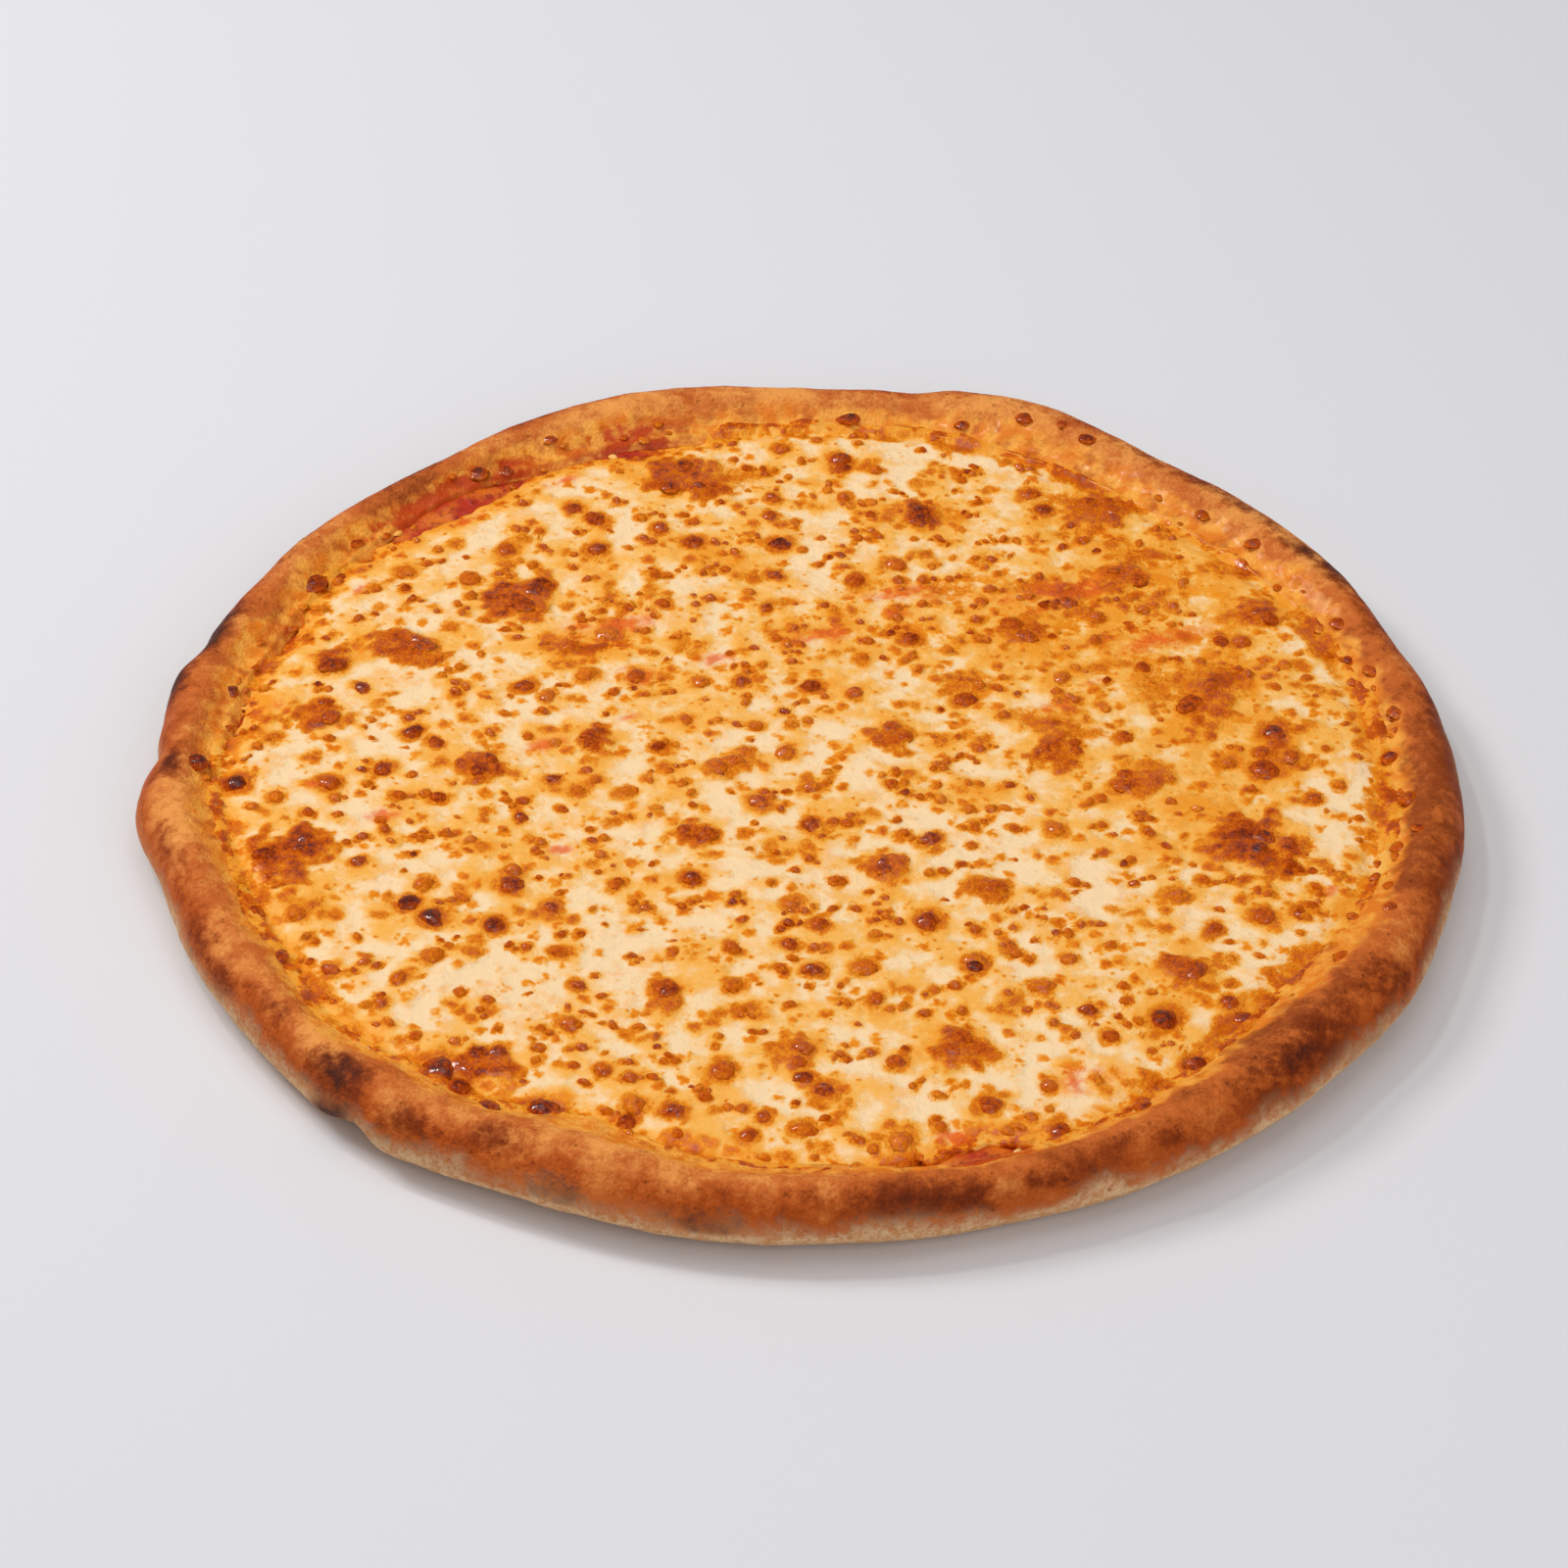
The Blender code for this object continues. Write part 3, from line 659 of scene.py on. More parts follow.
def named_spots(table, height_share):
    """Spots from a table of azimuth, radius, width and tone."""
    draw = random.Random(SEED + 1)
    spots = []
    for azimuth, radius, width, tone in table:
        x, y = level_point(azimuth, radius * MM)
        half = width / 2 * MM
        aspect, turn = draw.uniform(0.7, 1.0), draw.uniform(0, 180)
        spots.append(Spot(x, y, half, aspect, turn, height_share * half, tone))
    return spots


def scattered_spots(draw, count, taken, halves, tones, flatness, chain, spacing):
    """Spots at seeded places that stay apart, some of them beside an earlier one."""
    spots = []
    centres = [(spot.x, spot.y, spot.half) for spot in taken]
    while len(spots) < count:
        half = draw.uniform(*halves) * MM
        if spots and draw.random() < chain:
            last = spots[-1]
            side = draw.gauss(0, 35) + 180 * draw.randint(0, 1)
            dx, dy = level_point(side, (last.half + half) * 0.95)
            x, y = last.x + dx, last.y + dy
        else:
            x, y = level_point(draw.uniform(0, 360), FOOT_R * math.sqrt(draw.random()))
            near = any(math.hypot(x - a, y - b) < spacing * (half + c) for a, b, c in centres)
            if near:
                continue
        azimuth, radius = math.degrees(math.atan2(y, x)) % 360, math.hypot(x, y)
        if radius > cheese_edge(np.array([azimuth]))[0] - half * 0.6:
            continue
        tone = draw.uniform(*tones)
        height = half * draw.uniform(*flatness)
        spots.append(Spot(x, y, half, draw.uniform(0.55, 1.0), draw.gauss(0, 40), height, tone))
        centres.append((x, y, half))
    return spots


def all_spots(settings):
    """Every browned place of the cheese, by kind."""
    draw = random.Random(SEED + 2)
    patches, lumps, blisters = solid_spots()
    blisters = [spot._replace(tone=draw.choice(BLISTER_TONES)) for spot in blisters]
    raised = lumps + blisters + named_spots(NAMED_BLISTERS, NAMED_HEIGHT)
    taken = patches + raised
    raised += scattered_spots(draw, settings.orange_blisters, taken, *ORANGE_BLISTER)
    raised += scattered_spots(draw, settings.dark_blisters, taken, *DARK_BLISTER)
    flat = scattered_spots(draw, settings.golden_spots, patches, *GOLDEN_SPOT)
    return patches, raised, flat


def around(points, spots, reach):
    """Each spot, the points near it and their distance from its middle, 1 at its edge."""
    for spot in spots:
        dx, dy = points[:, 0] - spot.x, points[:, 1] - spot.y
        near = np.flatnonzero((np.abs(dx) < reach * spot.half) & (np.abs(dy) < reach * spot.half))
        dx, dy = dx[near], dy[near]
        cos, sin = math.cos(math.radians(spot.turn)), math.sin(math.radians(spot.turn))
        along = (dx * cos + dy * sin) / spot.half
        over = (dy * cos - dx * sin) / (spot.half * spot.aspect)
        yield spot, near, np.hypot(along, over)


def warped(points):
    """Points moved a little, so that browned places lose their round outlines."""
    level = flattened(points)
    moves = [MM * (1.5 * noise_at(level, 5 * MM, seed) + 0.7 * noise_at(level, 2.2 * MM, seed + 1))
             for seed in (41, 43)]
    return points + np.column_stack([*moves, np.zeros(len(points))])


def tint_at(points, tints):
    """Soft tints over the cheese, from a table."""
    total = np.zeros(len(points))
    spots = [Spot(*level_point(row[0], row[1] * MM), length / 2 * MM, width / length, turn, 0, tone)
             for *row, length, width, turn, tone in tints]
    for spot, near, distance in around(points, spots, 3):
        total[near] = np.maximum(total[near], spot.tone * np.exp(-1.2 * distance ** 2))
    return total


def patch_cover(points, patches):
    """Cover and tone of the browned patches, with ragged edges."""
    level = flattened(points)
    ragged = 0.5 * noise_at(level, 6 * MM, 11) + 0.35 * noise_at(level, 2.4 * MM, 12)
    uneven = 0.84 + 0.34 * noise_at(level, 3.4 * MM, 16)
    cover, tone = np.zeros(len(points)), np.zeros(len(points))
    for patch, near, distance in around(points, patches, 2.4):
        inside = smooth_step((1.35 - distance - 0.8 * ragged[near]) / 0.8)
        cover[near] = np.maximum(cover[near], inside)
        browned = smooth_step((1.5 - distance - 1.9 * ragged[near]) / 1.1)
        tone[near] = np.maximum(tone[near], browned * uneven[near] * patch.tone)
    return cover, tone


def open_height(points):
    """Height of the cheese between its patches and blisters."""
    azimuth, radius = polar(points)
    level = flattened(points)
    taper = smooth_step((radius - cheese_edge(azimuth) + CHEESE_TAPER) / CHEESE_TAPER)
    wave = CHEESE_WAVE * noise_at(level, CHEESE_WAVE_SIZE) * (1 - taper)
    ripple = 0.22 * MM * noise_at(level, 9 * MM, 13) + 0.09 * MM * noise_at(level, 4 * MM, 14)
    return CHEESE_TOP_Z + wave + ripple - (CHEESE_TOP_Z - CHEESE_EDGE_Z) * taper


def patched_height(points, patches):
    """Height of the cheese with its patches."""
    cover = patch_cover(points, patches)[0]
    level = flattened(points)
    crumb = 0.16 * MM * noise_at(level, 2.2 * MM, 15)
    return open_height(points) + cover * (0.75 * PATCH_HEIGHT + crumb)


def disc_points(grid):
    """Map a square of side 2 to a unit disc, with cells of nearly equal size."""
    u, v = grid[:, 0], grid[:, 1]
    wide = np.abs(u) > np.abs(v)
    radius = np.where(wide, u, v)
    safe_u, safe_v = np.where(u == 0, 1, u), np.where(v == 0, 1, v)
    angle = np.where(wide, np.pi / 4 * v / safe_u, np.pi / 2 - np.pi / 4 * u / safe_v)
    return np.column_stack([radius * np.cos(angle), radius * np.sin(angle), np.zeros(len(u))])


class CheeseSettings(bpy.types.PropertyGroup):
    """Sizes and colours of the cheese."""

    cells: count_property("Cells", "Cells of the cheese mesh along each side", 294)
    lap: size_property("Lap", "How far the cheese climbs the rim's inner slope", 2.2 * MM)
    film: size_property("Film", "Thickness of the cheese on the slope", 0.6 * MM)
    orange_blisters: count_property("Orange blisters", "Small orange blisters", 760)
    dark_blisters: count_property("Dark blisters", "Small dark blisters", 44)
    golden_spots: count_property("Golden spots", "Flat golden spots", 380)
    subsurface: share_property("Softness", "Light that passes through the cheese", 0.12)
    cream: colour_property("Cream", "Plain cheese", 254, 218, 170)
    pale: colour_property("Pale", "Thin, whitish cheese", 250, 208, 178)
    yellow: colour_property("Yellow", "Fat on the cheese", 253, 186, 90)
    golden: colour_property("Golden", "First browning", 244, 152, 34)
    orange: colour_property("Orange", "Orange browning", 230, 122, 12)
    brown: colour_property("Brown", "Brown blisters", 204, 88, 6)
    dark: colour_property("Dark", "Dark blisters", 152, 52, 6)
    black: colour_property("Black", "Cores of the dark blisters", 84, 26, 14)
    tomato: colour_property("Tomato", "Sauce through the cheese", 234, 96, 34)


class PIZZA_OT_melted_cheese(bpy.types.Operator):
    """Sheet of melted cheese with its waves, browned patches and lapped edge"""

    bl_idname = "pizza.melted_cheese"
    bl_label = "Melted Cheese"

    def execute(self, context):
        settings = context.scene.pizza_cheese
        mesh = self.blank_sheet(settings.cells)
        unit = disc_points(coordinates(mesh))
        azimuth, share = polar(unit)
        edge = cheese_edge(azimuth)
        closed = 1 - smooth_step(window_depth(azimuth) / GAP_START)
        circle = unit / np.maximum(share, 1e-9)[:, None] * FOOT_R
        reach = self.reach(circle, edge, closed, settings.lap)
        points = unit * reach[:, None]
        radius = share * reach
        inset = reach - radius
        patches, raised, flat = all_spots(settings)
        height = patched_height(points, patches)
        film = settings.film * (1 - np.exp(-inset / (1.0 * MM))) - FILM_SINK
        across = CREST_ACROSS * (radius - foot_radius(azimuth)) / (CREST_R - FOOT_R)
        slope = crust_height(azimuth, radius) + film
        slope += slope_lumps(points, across, context.scene.pizza_crust.slope_relief)
        fade = np.where(closed > 0.01, smooth_step(inset / LAP_FADE), 1)
        lapped = slope + np.maximum(height - slope, 0) * fade
        height = np.where(closed * (radius > edge - LAP_START) > 0.01, lapped, height)
        for spot, near, distance in around(points, raised, 2.2):
            height[near] += 0.22 * spot.height * np.exp(-1.3 * distance ** 2) * fade[near]
        for _, near, distance in around(points, flat, 1.6):
            height[near] += 0.12 * MM * np.exp(-1.6 * distance ** 2) * fade[near]
        toast, glow = self.browning(points, patches, raised, flat)
        points[:, 2] = height
        lower = np.arange(len(points)) >= (settings.cells + 1) ** 2
        foot = np.where(closed > 0.5, edge - CHEESE_EDGE_SLOPE, reach + 0.4 * MM)
        points[lower] = (foot[:, None] * unit)[lower]
        points[lower, 2] = CHEESE_UNDER_Z
        place_vertices(mesh, points)
        turn_outward(mesh)
        inside = edge + closed * settings.lap - radius + 2.2 * MM * noise_at(points, 6 * MM, 27)
        border = 1 - smooth_step(inside / BORDER)
        crisp = 0.16 + 0.5 * noise_at(circle, 12 * MM, 23) + 0.4 * noise_at(points, 4.5 * MM, 24)
        lip = smooth_step((LIP_WIDTH - inside) / LIP_FADE) * smooth_step(inset / (1.6 * MM))
        lip = lip * (0.3 + 0.7 * closed)
        paint(mesh, toast=np.maximum(toast, np.clip(crisp, 0, 0.6) * lip), glow=glow,
              red=tint_at(points, RED_TINTS), fat=tint_at(points, YELLOW_TINTS),
              film=np.maximum(tint_at(warped(points), FILM_TINTS), 0.9 * border))
        add_piece("melted_cheese", mesh, cheese_finish(settings), "browned_cheese", "cheese")
        return {"FINISHED"}

    def blank_sheet(self, cells):
        """A square grid with a skirt round it and a lid under it."""
        bm = bmesh.new()
        bmesh.ops.create_grid(bm, x_segments=cells, y_segments=cells, size=1)
        rim = [edge for edge in bm.edges if edge.is_boundary]
        bmesh.ops.extrude_edge_only(bm, edges=rim)
        open_edges = [edge for edge in bm.edges if edge.is_boundary]
        bmesh.ops.contextual_create(bm, geom=open_edges)
        return mesh_from(bm, "melted_cheese")

    def reach(self, circle, edge, closed, lap):
        """Radius of the sheet's ragged edge, which laps up the slope but stops short at gaps."""
        ragged = MM * (1.1 * noise_at(circle, 9 * MM, 21) + 0.6 * noise_at(circle, 3.2 * MM, 22))
        climb = 1 + 1.1 * noise_at(circle, 24 * MM, 25) + 0.4 * noise_at(circle, 9 * MM, 26)
        lapped = closed * (CHEESE_EDGE_GAP + np.maximum(lap * climb, 0.3 * MM))
        return edge + lapped + ragged * (1 + 0.7 * (1 - closed))

    def browning(self, points, patches, raised, flat):
        """How browned the sheet is, and how golden it is round its browned places."""
        toast = patch_cover(points, patches)[1]
        points = warped(points)
        smears = tint_at(points, SMEARS) * (0.85 + 0.7 * noise_at(points, 3.6 * MM, 31))
        toast = np.maximum(toast, smears)
        glow = np.zeros(len(points))
        for spot, near, distance in around(points, patches + raised + flat, 3.4):
            glow[near] += (0.2 + 0.6 * spot.tone) * np.exp(-0.6 * distance ** 2)
        for spot, near, distance in around(points, flat, 2.6):
            toast[near] = np.maximum(toast[near], 1.1 * spot.tone * np.exp(-0.8 * distance ** 2))
        for spot, near, distance in around(points, raised, 3.6):
            halo = edge_tone(spot.tone) * np.minimum(np.exp(-2.0 * (distance - 1)), 1)
            toast[near] = np.maximum(toast[near], halo)
        return toast, np.clip(glow, 0, 1)


def edge_tone(tone):
    """How browned the foot of a blister is."""
    return 0.34 * tone + 0.16


def dome_template():
    """A closed dome of a few dozen faces, with radius 1."""
    bm = bmesh.new()
    bmesh.ops.create_uvsphere(bm, u_segments=10, v_segments=8, radius=1)
    bmesh.ops.bisect_plane(bm, geom=bm.verts[:] + bm.edges[:] + bm.faces[:], dist=1e-4,
                           plane_co=(0, 0, 0), plane_no=(0, 0, 1), clear_inner=True)
    bmesh.ops.contextual_create(bm, geom=[edge for edge in bm.edges if edge.is_boundary])
    bmesh.ops.recalc_face_normals(bm, faces=bm.faces)
    return mesh_from(bm, "dome_template")


def domes(name, spots, bases, sink):
    """One mesh of a dome for each spot, on the heights given, with uneven outlines."""
    template = dome_template()
    bm = bmesh.new()
    for _ in spots:
        bm.from_mesh(template)
    mesh = mesh_from(bm, name)
    shape = coordinates(template)
    bpy.data.meshes.remove(template)
    table = np.array(spots)
    x, y, half, aspect, turn, height, tone = (table[:, None, column] for column in range(7))
    angle = np.radians(turn)
    apart = np.arange(len(spots))[:, None, None] * 3.7
    uneven = noise_at((shape[None] * 1.2 + apart).reshape(-1, 3), 1.0, 31)
    uneven = 1 + 0.42 * uneven.reshape(len(spots), -1)
    along = shape[None, :, 0] * half * uneven
    over = shape[None, :, 1] * half * aspect * uneven
    up = shape[None, :, 2] ** 1.4 * height * (1 + sink) * (0.75 + 0.25 * uneven)
    points = np.stack([x + along * np.cos(angle) - over * np.sin(angle),
                       y + along * np.sin(angle) + over * np.cos(angle),
                       bases[:, None] - sink * height + up], axis=2)
    place_vertices(mesh, points.reshape(-1, 3))
    fall = np.clip(shape[None, :, 2], 0, 1) ** 0.9
    paint(mesh, toast=(edge_tone(tone) + (tone - edge_tone(tone)) * fall).ravel(),
          glow=np.broadcast_to(np.clip(0.2 + 2 * tone, 0, 1), uneven.shape).ravel())
    return mesh


class PIZZA_OT_cheese_blisters(bpy.types.Operator):
    """Raised, browned blisters of the cheese"""

    bl_idname = "pizza.cheese_blisters"
    bl_label = "Cheese Blisters"

    def execute(self, context):
        settings = context.scene.pizza_cheese
        patches, raised, _ = all_spots(settings)
        centres = np.array([(spot.x, spot.y, 0) for spot in raised])
        azimuth, radius = polar(centres)
        bases = patched_height(centres, patches)
        slope = crust_height(azimuth, radius) + settings.film - FILM_SINK
        bases = np.where(radius > cheese_edge(azimuth) - 2 * MM, np.maximum(bases, slope), bases)
        mesh = domes("cheese_blisters", raised, bases, 0.3)
        add_piece("cheese_blisters", mesh, bpy.data.materials["cheese_skin"], "browned_cheese")
        return {"FINISHED"}


class PIZZA_OT_slope_splashes(bpy.types.Operator):
    """Browned splashes of cheese on the inner slope of the rim"""

    bl_idname = "pizza.slope_splashes"
    bl_label = "Slope Splashes"

    def execute(self, context):
        spots = named_spots(SLOPE_DOTS, SPLASH_HEIGHT)
        draw = random.Random(SEED + 5)
        for _ in range(SPLASH_COUNT):
            azimuth = draw.uniform(0, 360)
            radius = foot_radius(np.array([azimuth]))[0] + draw.uniform(-0.5, 4.5) * MM
            x, y = level_point(azimuth, radius)
            half = draw.uniform(0.9, 1.9) * MM
            spots.append(Spot(x, y, half, draw.uniform(0.6, 1), azimuth + 90 + draw.gauss(0, 30),
                              half * 0.22, draw.uniform(0.4, 0.76)))
        for middle, _, half_width in SAUCE_WINDOWS:
            for _ in range(half_width // 3):
                azimuth = middle + draw.uniform(-0.7, 0.7) * half_width
                radius = foot_radius(np.array([azimuth]))[0] - draw.uniform(0.5, 6) * MM
                x, y = level_point(azimuth, radius)
                half = draw.uniform(0.7, 1.8) * MM
                spots.append(Spot(x, y, half, draw.uniform(0.4, 0.8), draw.uniform(0, 180),
                                  half * 0.25, draw.choice(CRUMB_TONES)))
        centres = np.array([(spot.x, spot.y, 0) for spot in spots])
        azimuth, radius = polar(centres)
        bases = np.maximum(crust_height(azimuth, radius), SPLASH_BASE_Z) + 0.1 * MM
        mesh = domes("slope_splashes", spots, bases, 0.5)
        add_piece("slope_splashes", mesh, bpy.data.materials["cheese_skin"], "browned_cheese")
        return {"FINISHED"}


# Finishes
class Signal:
    """A shader socket that takes part in sums."""

    def __init__(self, finish, socket):
        self.finish = finish
        self.socket = socket

    def __add__(self, other):
        return self.finish.sum("ADD", self, other)

    def __sub__(self, other):
        return self.finish.sum("SUBTRACT", self, other)

    def __rsub__(self, other):
        return self.finish.sum("SUBTRACT", other, self)

    def __mul__(self, other):
        return self.finish.sum("MULTIPLY", self, other)

    __radd__ = __add__
    __rmul__ = __mul__


class Finish:
    """A material whose nodes are added one by one."""

    def __init__(self, name):
        self.material = bpy.data.materials.new(name)
        self.material.use_nodes = True
        self.tree = self.material.node_tree
        self.shader = self.tree.nodes["Principled BSDF"]
        self.place = self.node("ShaderNodeTexCoord", {}, {}, "Object")

    def node(self, kind, settings, inputs, output=0):
        """Add a node with its settings, feed its sockets and give back one output."""
        node = self.tree.nodes.new(kind)
        for name, value in settings.items():
            if name == "stops":
                self.set_stops(node.color_ramp, value)
            else:
                setattr(node, name, value)
        for name, value in inputs.items():
            self.feed(node.inputs[name], value)
        return Signal(self, node.outputs[output])

    def set_stops(self, ramp, stops):
        """Give a ramp its stops, as place and colour."""
        while len(ramp.elements) < len(stops):
            ramp.elements.new(0.5)
        for element, (place, colour) in zip(ramp.elements, stops):
            element.position = place
            element.color = (*colour, 1)

    def feed(self, socket, value):
        """Link a signal to a socket, or set its value."""
        if isinstance(value, Signal):
            self.tree.links.new(value.socket, socket)
        elif socket.type == "RGBA":
            socket.default_value = (*value, 1)
        else:
            socket.default_value = value

    def sum(self, operation, first, second):
        """A Math node on two values."""
        return self.node("ShaderNodeMath", {"operation": operation}, {0: first, 1: second})

    def attribute(self, name):
        """A number painted on the vertices."""
        return self.node("ShaderNodeAttribute", {"attribute_name": name}, {}, "Fac")

    def grain(self, size, detail=2.0, shift=0.0):
        """Noise from 0 to 1 with features of a size, on Object coordinates."""
        return self.node("ShaderNodeTexNoise", {},
                         {"Vector": self.moved(shift), "Scale": 1 / size, "Detail": detail})

    def cloudy(self, size, detail, shift, low=0.3, high=0.7):
        """Noise with its contrast raised."""
        return self.between(self.grain(size, detail, shift), low, high)

    def moved(self, shift):
        """The place of a point, moved so that patterns differ."""
        return self.node("ShaderNodeVectorMath", {"operation": "ADD"},
                         {0: self.place, 1: (shift, 1.7 * shift, shift)})

    def ragged(self, size):
        """Noise as a vector, for ragged outlines."""
        return self.node("ShaderNodeTexNoise", {},
                         {"Vector": self.place, "Scale": 1 / size, "Detail": 1.0}, "Color")

    def cells(self, size, shift=0.0, ragged=None, wobble=0.0):
        """Distance from the middle of scattered cells of a size, with ragged outlines."""
        place = self.moved(shift)
        if ragged:
            place = self.node("ShaderNodeVectorMath", {"operation": "MULTIPLY_ADD"},
                              {0: ragged, 1: (wobble, wobble, wobble), 2: place})
        return self.node("ShaderNodeTexVoronoi", {}, {"Vector": place, "Scale": 1 / size},
                         "Distance")

    def clamp(self, value):
        """A value kept between 0 and 1."""
        return self.node("ShaderNodeClamp", {}, {"Value": value})

    def between(self, value, low, high):
        """Ease from 0 to 1 as a value goes from low to high."""
        return self.node("ShaderNodeMapRange", {"interpolation_type": "SMOOTHSTEP"},
                         {"Value": value, "From Min": low, "From Max": high})

    def ramp(self, value, stops):
        """Colour by a value."""
        return self.node("ShaderNodeValToRGB", {"stops": stops}, {"Fac": value}, "Color")

    def mix(self, factor, first, second):
        """Mix two colours."""
        return self.node("ShaderNodeMix", {"data_type": "RGBA"},
                         {0: factor, 6: first, 7: second}, 2)

    def finish(self, colour, roughness, height, depth, **constants):
        """Feed the shader, with a bump of a real depth, and set what is the same all over."""
        self.feed(self.shader.inputs["Base Color"], colour)
        self.feed(self.shader.inputs["Roughness"], roughness)
        bump = self.node("ShaderNodeBump", {},
                         {"Height": height, "Distance": depth, "Strength": 1.0})
        self.feed(self.shader.inputs["Normal"], bump)
        for name, value in constants.items():
            self.feed(self.shader.inputs[name.replace("_", " ")], value)
        return self.material


def dough_finish(settings):
    """Baked dough: oily golden slope, browned top with a painted highlight, a darker side with
    painted shade, scorches and a pale, floury flank.
    """
    finish = Finish("dough_skin")
    across, scorch, tan, stain = map(finish.attribute, ("across", "scorch", "tan", "stain"))
    broad = finish.cloudy(24 * MM, 2.0, 0.3)
    cloud = finish.cloudy(8 * MM, 3.0, 0.7)
    mottle = finish.cloudy(2.4 * MM, 3.0, 1.1)
    fine = finish.cloudy(0.8 * MM, 2.0, 1.9)
    speck = finish.cells(3.0 * MM, 0.4)
    place = across + 0.14 * (broad - 0.5) + 0.14 * (cloud - 0.5) + 0.05 * (mottle - 0.5)
    inner = 1 - finish.between(place, 0.2, 0.42)
    baked = tan + 0.5 * (broad - 0.5) + 0.4 * (cloud - 0.5)
    baked = baked + 0.28 * (mottle - 0.5) + 0.22 * (fine - 0.5)
    # The top is painted lighter than the outer side: partly how the rim baked, partly a painted
    # highlight on the top-lit crest and painted shade on the side
    top = finish.mix(finish.between(baked, -0.3, 0.5), settings.light, settings.rosy)
    side = finish.mix(finish.between(baked, -0.3, 0.5), settings.rosy, settings.brown)
    colour = finish.mix(finish.between(place, 0.5, 0.85), top, side)
    # Darker towards the outer side above the widest line: partly deeper browning, partly painted
    # shade
    deep = finish.between(baked + 0.5 * (place - 0.6), 0.4, 1.1)
    deep = deep * (1 - finish.between(place, 0.95, 1.1))
    colour = finish.mix(deep * 0.62, colour, settings.dark)
    lumps = finish.cloudy(4.5 * MM, 3.0, 3.1, 0.36, 0.64)
    slope = finish.mix(lumps, settings.yellow, settings.golden)
    crisp = finish.between(finish.grain(3.4 * MM, 3.0, 4.1) + 0.2 * (cloud - 0.5), 0.5, 0.76)
    slope = finish.mix(crisp * 0.62, slope, settings.brown)
    red = finish.between(stain * (0.6 + 0.8 * lumps), 0.15, 0.7)
    slope = finish.mix(red * 0.9, slope, settings.sauce)
    colour = finish.mix(inner, colour, slope)
    bloom = finish.between(fine * 0.5 + mottle * 0.5, 0.2, 0.8)
    pale = finish.mix(bloom, settings.flank, settings.flour)
    dusty = across + 0.16 * (broad - 0.5) + 0.05 * (cloud - 0.5) + 0.04 * (mottle - 0.5)
    colour = finish.mix(finish.between(dusty, 0.82, 1.12), colour, pale)
    burn = scorch + 0.34 * (cloud - 0.5) * finish.between(scorch, 0.05, 0.3)
    burn = burn + 0.24 * (mottle - 0.5) + 0.1 * (fine - 0.5)
    colour = finish.mix(finish.between(burn, 0.2, 0.85) * 0.8, colour, settings.dark)
    colour = finish.mix(finish.between(burn, 0.7, 1.05) * 0.8, colour, settings.char)
    specks = (1 - finish.between(speck, 0.08, 0.2)) * finish.between(cloud, 0.2, 0.7)
    specks = specks * (1 - inner)
    colour = finish.mix(specks * 0.4 * (1 - finish.between(place, 1.0, 1.2)), colour, settings.dark)
    roughness = 0.56 - 0.2 * inner + 0.14 * (mottle - 0.5)
    height = fine * 0.35 + mottle * 0.5 + 0.5 * finish.grain(1.5 * MM, 3.0, 2.3) - 0.6 * specks
    return finish.finish(colour, roughness, height, 0.42 * MM, Coat_Weight=0.16 * inner,
                         Coat_Roughness=0.16, Specular_IOR_Level=0.08)


def sauce_finish(settings):
    """Cooked tomato sauce with oil on it."""
    finish = Finish("cooked_sauce")
    broad = finish.grain(7 * MM, 3.0, 0.2)
    small = finish.grain(2.2 * MM, 3.0, 0.9)
    colour = finish.mix(finish.between(broad, 0.35, 0.65), settings.red, settings.orange)
    colour = finish.mix(finish.between(small, 0.5, 0.75) * 0.8, colour, settings.deep)
    return finish.finish(colour, 0.25 + 0.25 * small, small + 0.5 * broad, 0.6 * MM,
                         Coat_Weight=0.2, Coat_Roughness=0.12, Specular_IOR_Level=0.3)


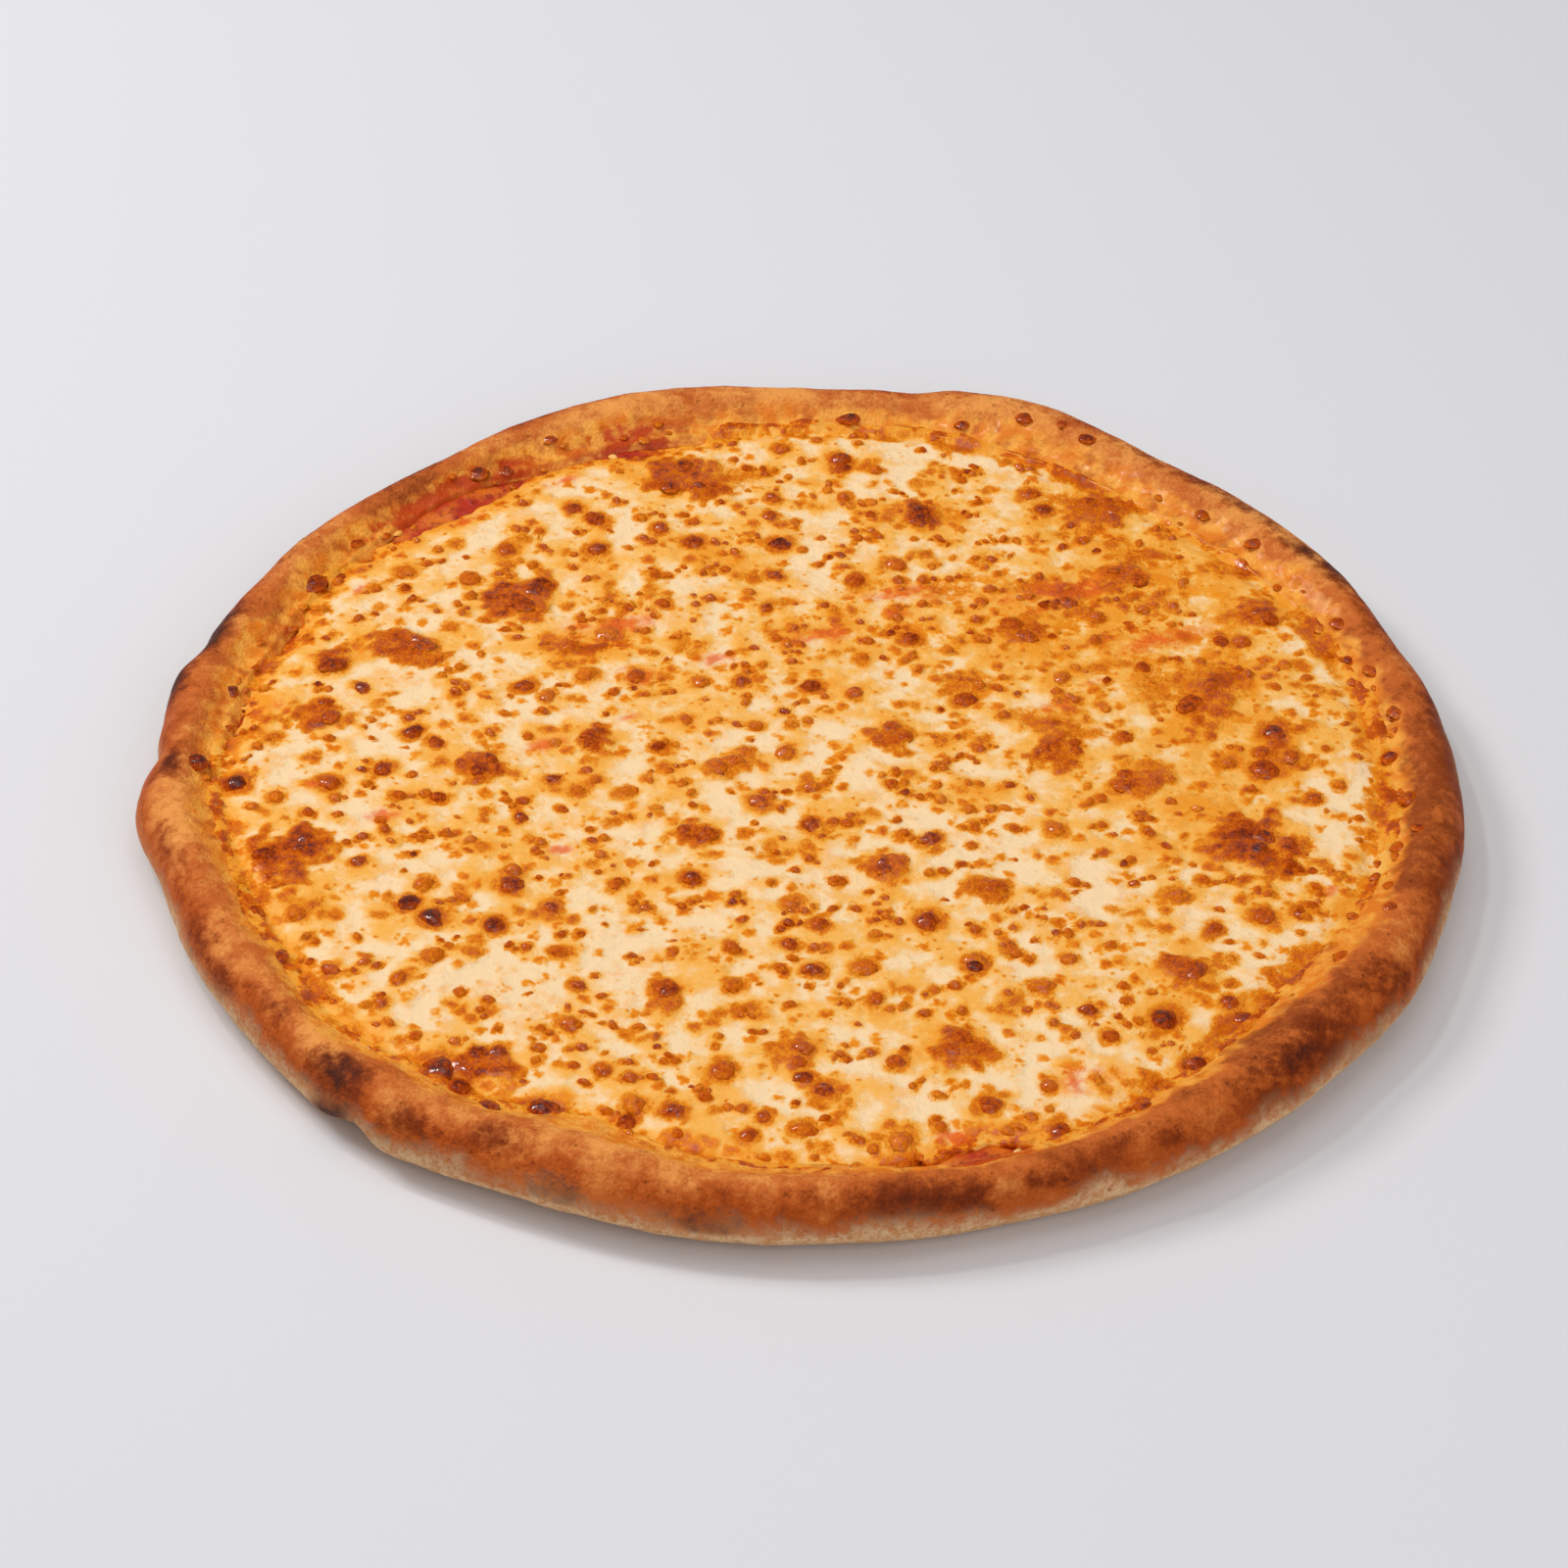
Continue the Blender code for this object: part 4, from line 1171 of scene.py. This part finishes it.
def cheese_finish(settings):
    """Melted cheese from cream to nearly black, by how browned each place is."""
    finish = Finish("cheese_skin")
    toast, glow, red, film, fat = map(finish.attribute, ("toast", "glow", "red", "film", "fat"))
    broad = finish.cloudy(26 * MM, 1.0, 0.5)
    cloud = finish.cloudy(7 * MM, 3.0, 1.3)
    streak = finish.cloudy(5 * MM, 3.0, 2.7, 0.36, 0.66)
    grain = finish.cloudy(1.5 * MM, 3.0, 0.8)
    fine = finish.cloudy(0.6 * MM, 2.0, 1.6)
    ragged = finish.ragged(2 * MM)
    spots = finish.clamp(1 - 2.5 * finish.cells(6.5 * MM, 0.2, ragged, 3.2 * MM))
    flecks = finish.clamp(1 - 3.3 * finish.cells(3.4 * MM, 0.9, ragged, 1.8 * MM))
    crowd = finish.between(0.6 * cloud + 0.4 * broad + 0.5 * film, 0.2, 0.8)
    dots = finish.sum("MAXIMUM", spots * (0.44 + 0.34 * crowd), flecks * (0.2 + 0.3 * crowd))
    started = finish.between(toast, 0.1, 0.36)
    bubble = finish.cells(1.1 * MM, 2.2)
    crest = finish.sum("MAXIMUM", toast, dots)
    level = crest + started * (0.18 * (grain - 0.5) + 0.12 * (fine - 0.5) + 0.14 * (bubble - 0.4))
    smoke = finish.between(streak * 0.7 + grain * 0.3 + 0.15 * fine, 0.35, 0.95)
    share = (0.6 + 0.6 * film) * film * smoke
    level = level + share * finish.clamp(0.76 - level)
    wash = 0.7 * glow + 0.6 * fat + 1.0 * film + 0.7 * (cloud - 0.5)
    wash = wash + 0.3 * (broad - 0.5) + 0.15 * (grain - 0.5) + 1.1 * level
    bare = finish.mix(finish.between(cloud, 0.5, 1.0) * 0.8, settings.cream, settings.pale)
    bare = finish.mix(finish.between(wash, -0.22, 0.46), bare, settings.yellow)
    bare = finish.mix(finish.between(wash, 0.3, 1.0) * 0.9, bare, settings.golden)
    browned = finish.ramp(level, [
        (0.0, settings.yellow), (0.12, settings.yellow), (0.24, settings.golden),
        (0.42, settings.orange), (0.66, settings.brown), (0.86, settings.dark),
        (1.0, settings.black),
    ])
    colour = finish.mix(finish.between(level, 0.08, 0.3), bare, browned)
    stain = finish.between(red * (0.3 + 1.0 * streak + 0.4 * grain), 0.06, 0.7)
    stain = stain * 0.8 * (1 - 0.6 * finish.between(level, 0.4, 0.8))
    colour = finish.mix(stain, colour, settings.tomato)
    roughness = 0.34 - 0.06 * toast + 0.1 * (grain - 0.5)
    coat = 0.05 + 0.85 * finish.between(level, 0.2, 0.6) * finish.between(cloud + grain, 0.9, 1.5)
    bumps = started * (0.4 * grain + 0.2 * fine - 0.7 * bubble)
    height = bumps + 0.1 * fine + 1.2 * crest + 1.1 * cloud + 0.4 * streak
    return finish.finish(colour, roughness, height, 0.48 * MM, Coat_Weight=coat,
                         Subsurface_Weight=settings.subsurface, Subsurface_Scale=0.6,
                         Subsurface_Radius=(0.003, 0.0014, 0.0005),
                         Coat_Roughness=0.12, Specular_IOR_Level=0.06)


def floor_finish(settings):
    """Plain, matt studio floor."""
    finish = Finish("studio_floor")
    darker = tuple(0.985 * part for part in settings.floor)
    shade = finish.mix(finish.grain(0.6, 1.0), settings.floor, darker)
    return finish.finish(shade, 0.9, finish.grain(0.002), 0.01 * MM, Specular_IOR_Level=0.1)


# Stage
class StageSettings(bpy.types.PropertyGroup):
    """Floor, lights and camera."""

    floor: colour_property("Floor", "Studio floor", 226, 225, 227)
    key: power_property("Key light", "Power of the key light", 13.6)
    fill: power_property("Fill light", "Power of the fill light", 10.5)
    glint: power_property("Glint light", "Power of the small bright light", 3.6)
    top: power_property("Top light", "Power of the overhead light", 6.0)
    world: bpy.props.FloatProperty(name="Room light", description="Strength of the light all round",
                                   default=0.27, min=0)
    distance: size_property("Camera distance", "From the camera to the point that it aims at", 1.1)
    elevation: angle_property("Camera elevation", "Angle above the floor", 39.33)
    roll: angle_property("Camera roll", "Turn about the line of sight", 1.05)
    lens: bpy.props.FloatProperty(name="Lens", description="Focal length in millimetres",
                                  default=105.7, min=1)


def add_light(name, power, size, place):
    """A square soft light aimed at the pizza."""
    light = bpy.data.lights.new(name, "AREA")
    light.energy = power
    light.size = size
    lamp = bpy.data.objects.new(name, light)
    lamp.location = place
    lamp.rotation_euler = (-Vector(place)).to_track_quat("-Z", "Y").to_euler()
    bpy.context.scene.collection.objects.link(lamp)


class PIZZA_OT_studio_stage(bpy.types.Operator):
    """Pale floor, soft lights and the camera"""

    bl_idname = "pizza.studio_stage"
    bl_label = "Studio Stage"

    def execute(self, context):
        settings = context.scene.pizza_stage
        bm = bmesh.new()
        bmesh.ops.create_grid(bm, x_segments=1, y_segments=1, size=5)
        floor = bpy.data.objects.new("studio_floor", mesh_from(bm, "studio_floor"))
        floor.data.materials.append(floor_finish(settings))
        context.scene.collection.objects.link(floor)
        add_light("key_light", settings.key, 0.5, (-1.2, 0.55, 1.25))
        add_light("fill_light", settings.fill, 1.4, (0.7, -1.3, 1.1))
        add_light("glint_light", settings.glint, 0.14, (-0.7, 0.5, 1.5))
        add_light("top_light", settings.top, 1.3, (-0.1, 0.1, 1.6))
        world = bpy.data.worlds.new("studio_room")
        world.use_nodes = True
        background = world.node_tree.nodes["Background"].inputs
        background["Color"].default_value = (0.9, 0.9, 0.92, 1)
        background["Strength"].default_value = settings.world
        context.scene.world = world
        context.scene.view_settings.view_transform = "Standard"
        self.add_camera(context, settings)
        return {"FINISHED"}

    def add_camera(self, context, settings):
        """Put the camera where the pizza was seen from."""
        lens = bpy.data.cameras.new("studio_camera")
        lens.lens = settings.lens
        lens.sensor_width = 36
        lens.clip_start = 0.01
        camera = bpy.data.objects.new("studio_camera", lens)
        rise, run = math.sin(settings.elevation), math.cos(settings.elevation)
        back = Vector((0, -run, rise))
        level, over = Vector((1, 0, 0)), Vector((0, rise, run))
        right = level * math.cos(settings.roll) + over * math.sin(settings.roll)
        up = back.cross(right)
        turn = Matrix((right, up, back)).transposed().to_4x4()
        camera.matrix_world = Matrix.Translation(Vector(AIM) + back * settings.distance) @ turn
        context.scene.collection.objects.link(camera)
        context.scene.camera = camera


class PIZZA_PT_pieces(bpy.types.Panel):
    """Pieces of the pizza"""

    bl_idname = "PIZZA_PT_pieces"
    bl_label = "Pan Pizza"
    bl_space_type = "VIEW_3D"
    bl_region_type = "UI"
    bl_category = "Pizza"

    def draw(self, context):
        layout = self.layout
        for operator in OPERATORS:
            layout.operator(operator.bl_idname)
        for name in ("pizza_crust", "pizza_sauce", "pizza_cheese", "pizza_stage"):
            box = layout.box()
            settings = getattr(context.scene, name)
            for key in settings.bl_rna.properties.keys():
                if key not in ("rna_type", "name"):
                    box.prop(settings, key)


SETTINGS = {
    "pizza_crust": CrustSettings,
    "pizza_sauce": SauceSettings,
    "pizza_cheese": CheeseSettings,
    "pizza_stage": StageSettings,
}
OPERATORS = (
    PIZZA_OT_baked_crust,
    PIZZA_OT_sauce_layer,
    PIZZA_OT_melted_cheese,
    PIZZA_OT_cheese_blisters,
    PIZZA_OT_slope_splashes,
    PIZZA_OT_studio_stage,
)


def register():
    """Register the settings, operators and panel."""
    for name, kind in SETTINGS.items():
        bpy.utils.register_class(kind)
        setattr(bpy.types.Scene, name, bpy.props.PointerProperty(type=kind))
    for kind in (*OPERATORS, PIZZA_PT_pieces):
        bpy.utils.register_class(kind)


def unregister():
    """Take the settings, operators and panel out again."""
    for kind in reversed((*OPERATORS, PIZZA_PT_pieces)):
        bpy.utils.unregister_class(kind)
    for name, kind in reversed(list(SETTINGS.items())):
        delattr(bpy.types.Scene, name)
        bpy.utils.unregister_class(kind)


def main():
    """Make every piece and the stage."""
    register()
    bpy.ops.pizza.baked_crust()
    bpy.ops.pizza.sauce_layer()
    bpy.ops.pizza.melted_cheese()
    bpy.ops.pizza.cheese_blisters()
    bpy.ops.pizza.slope_splashes()
    bpy.ops.pizza.studio_stage()


if __name__ == "__main__":
    main()
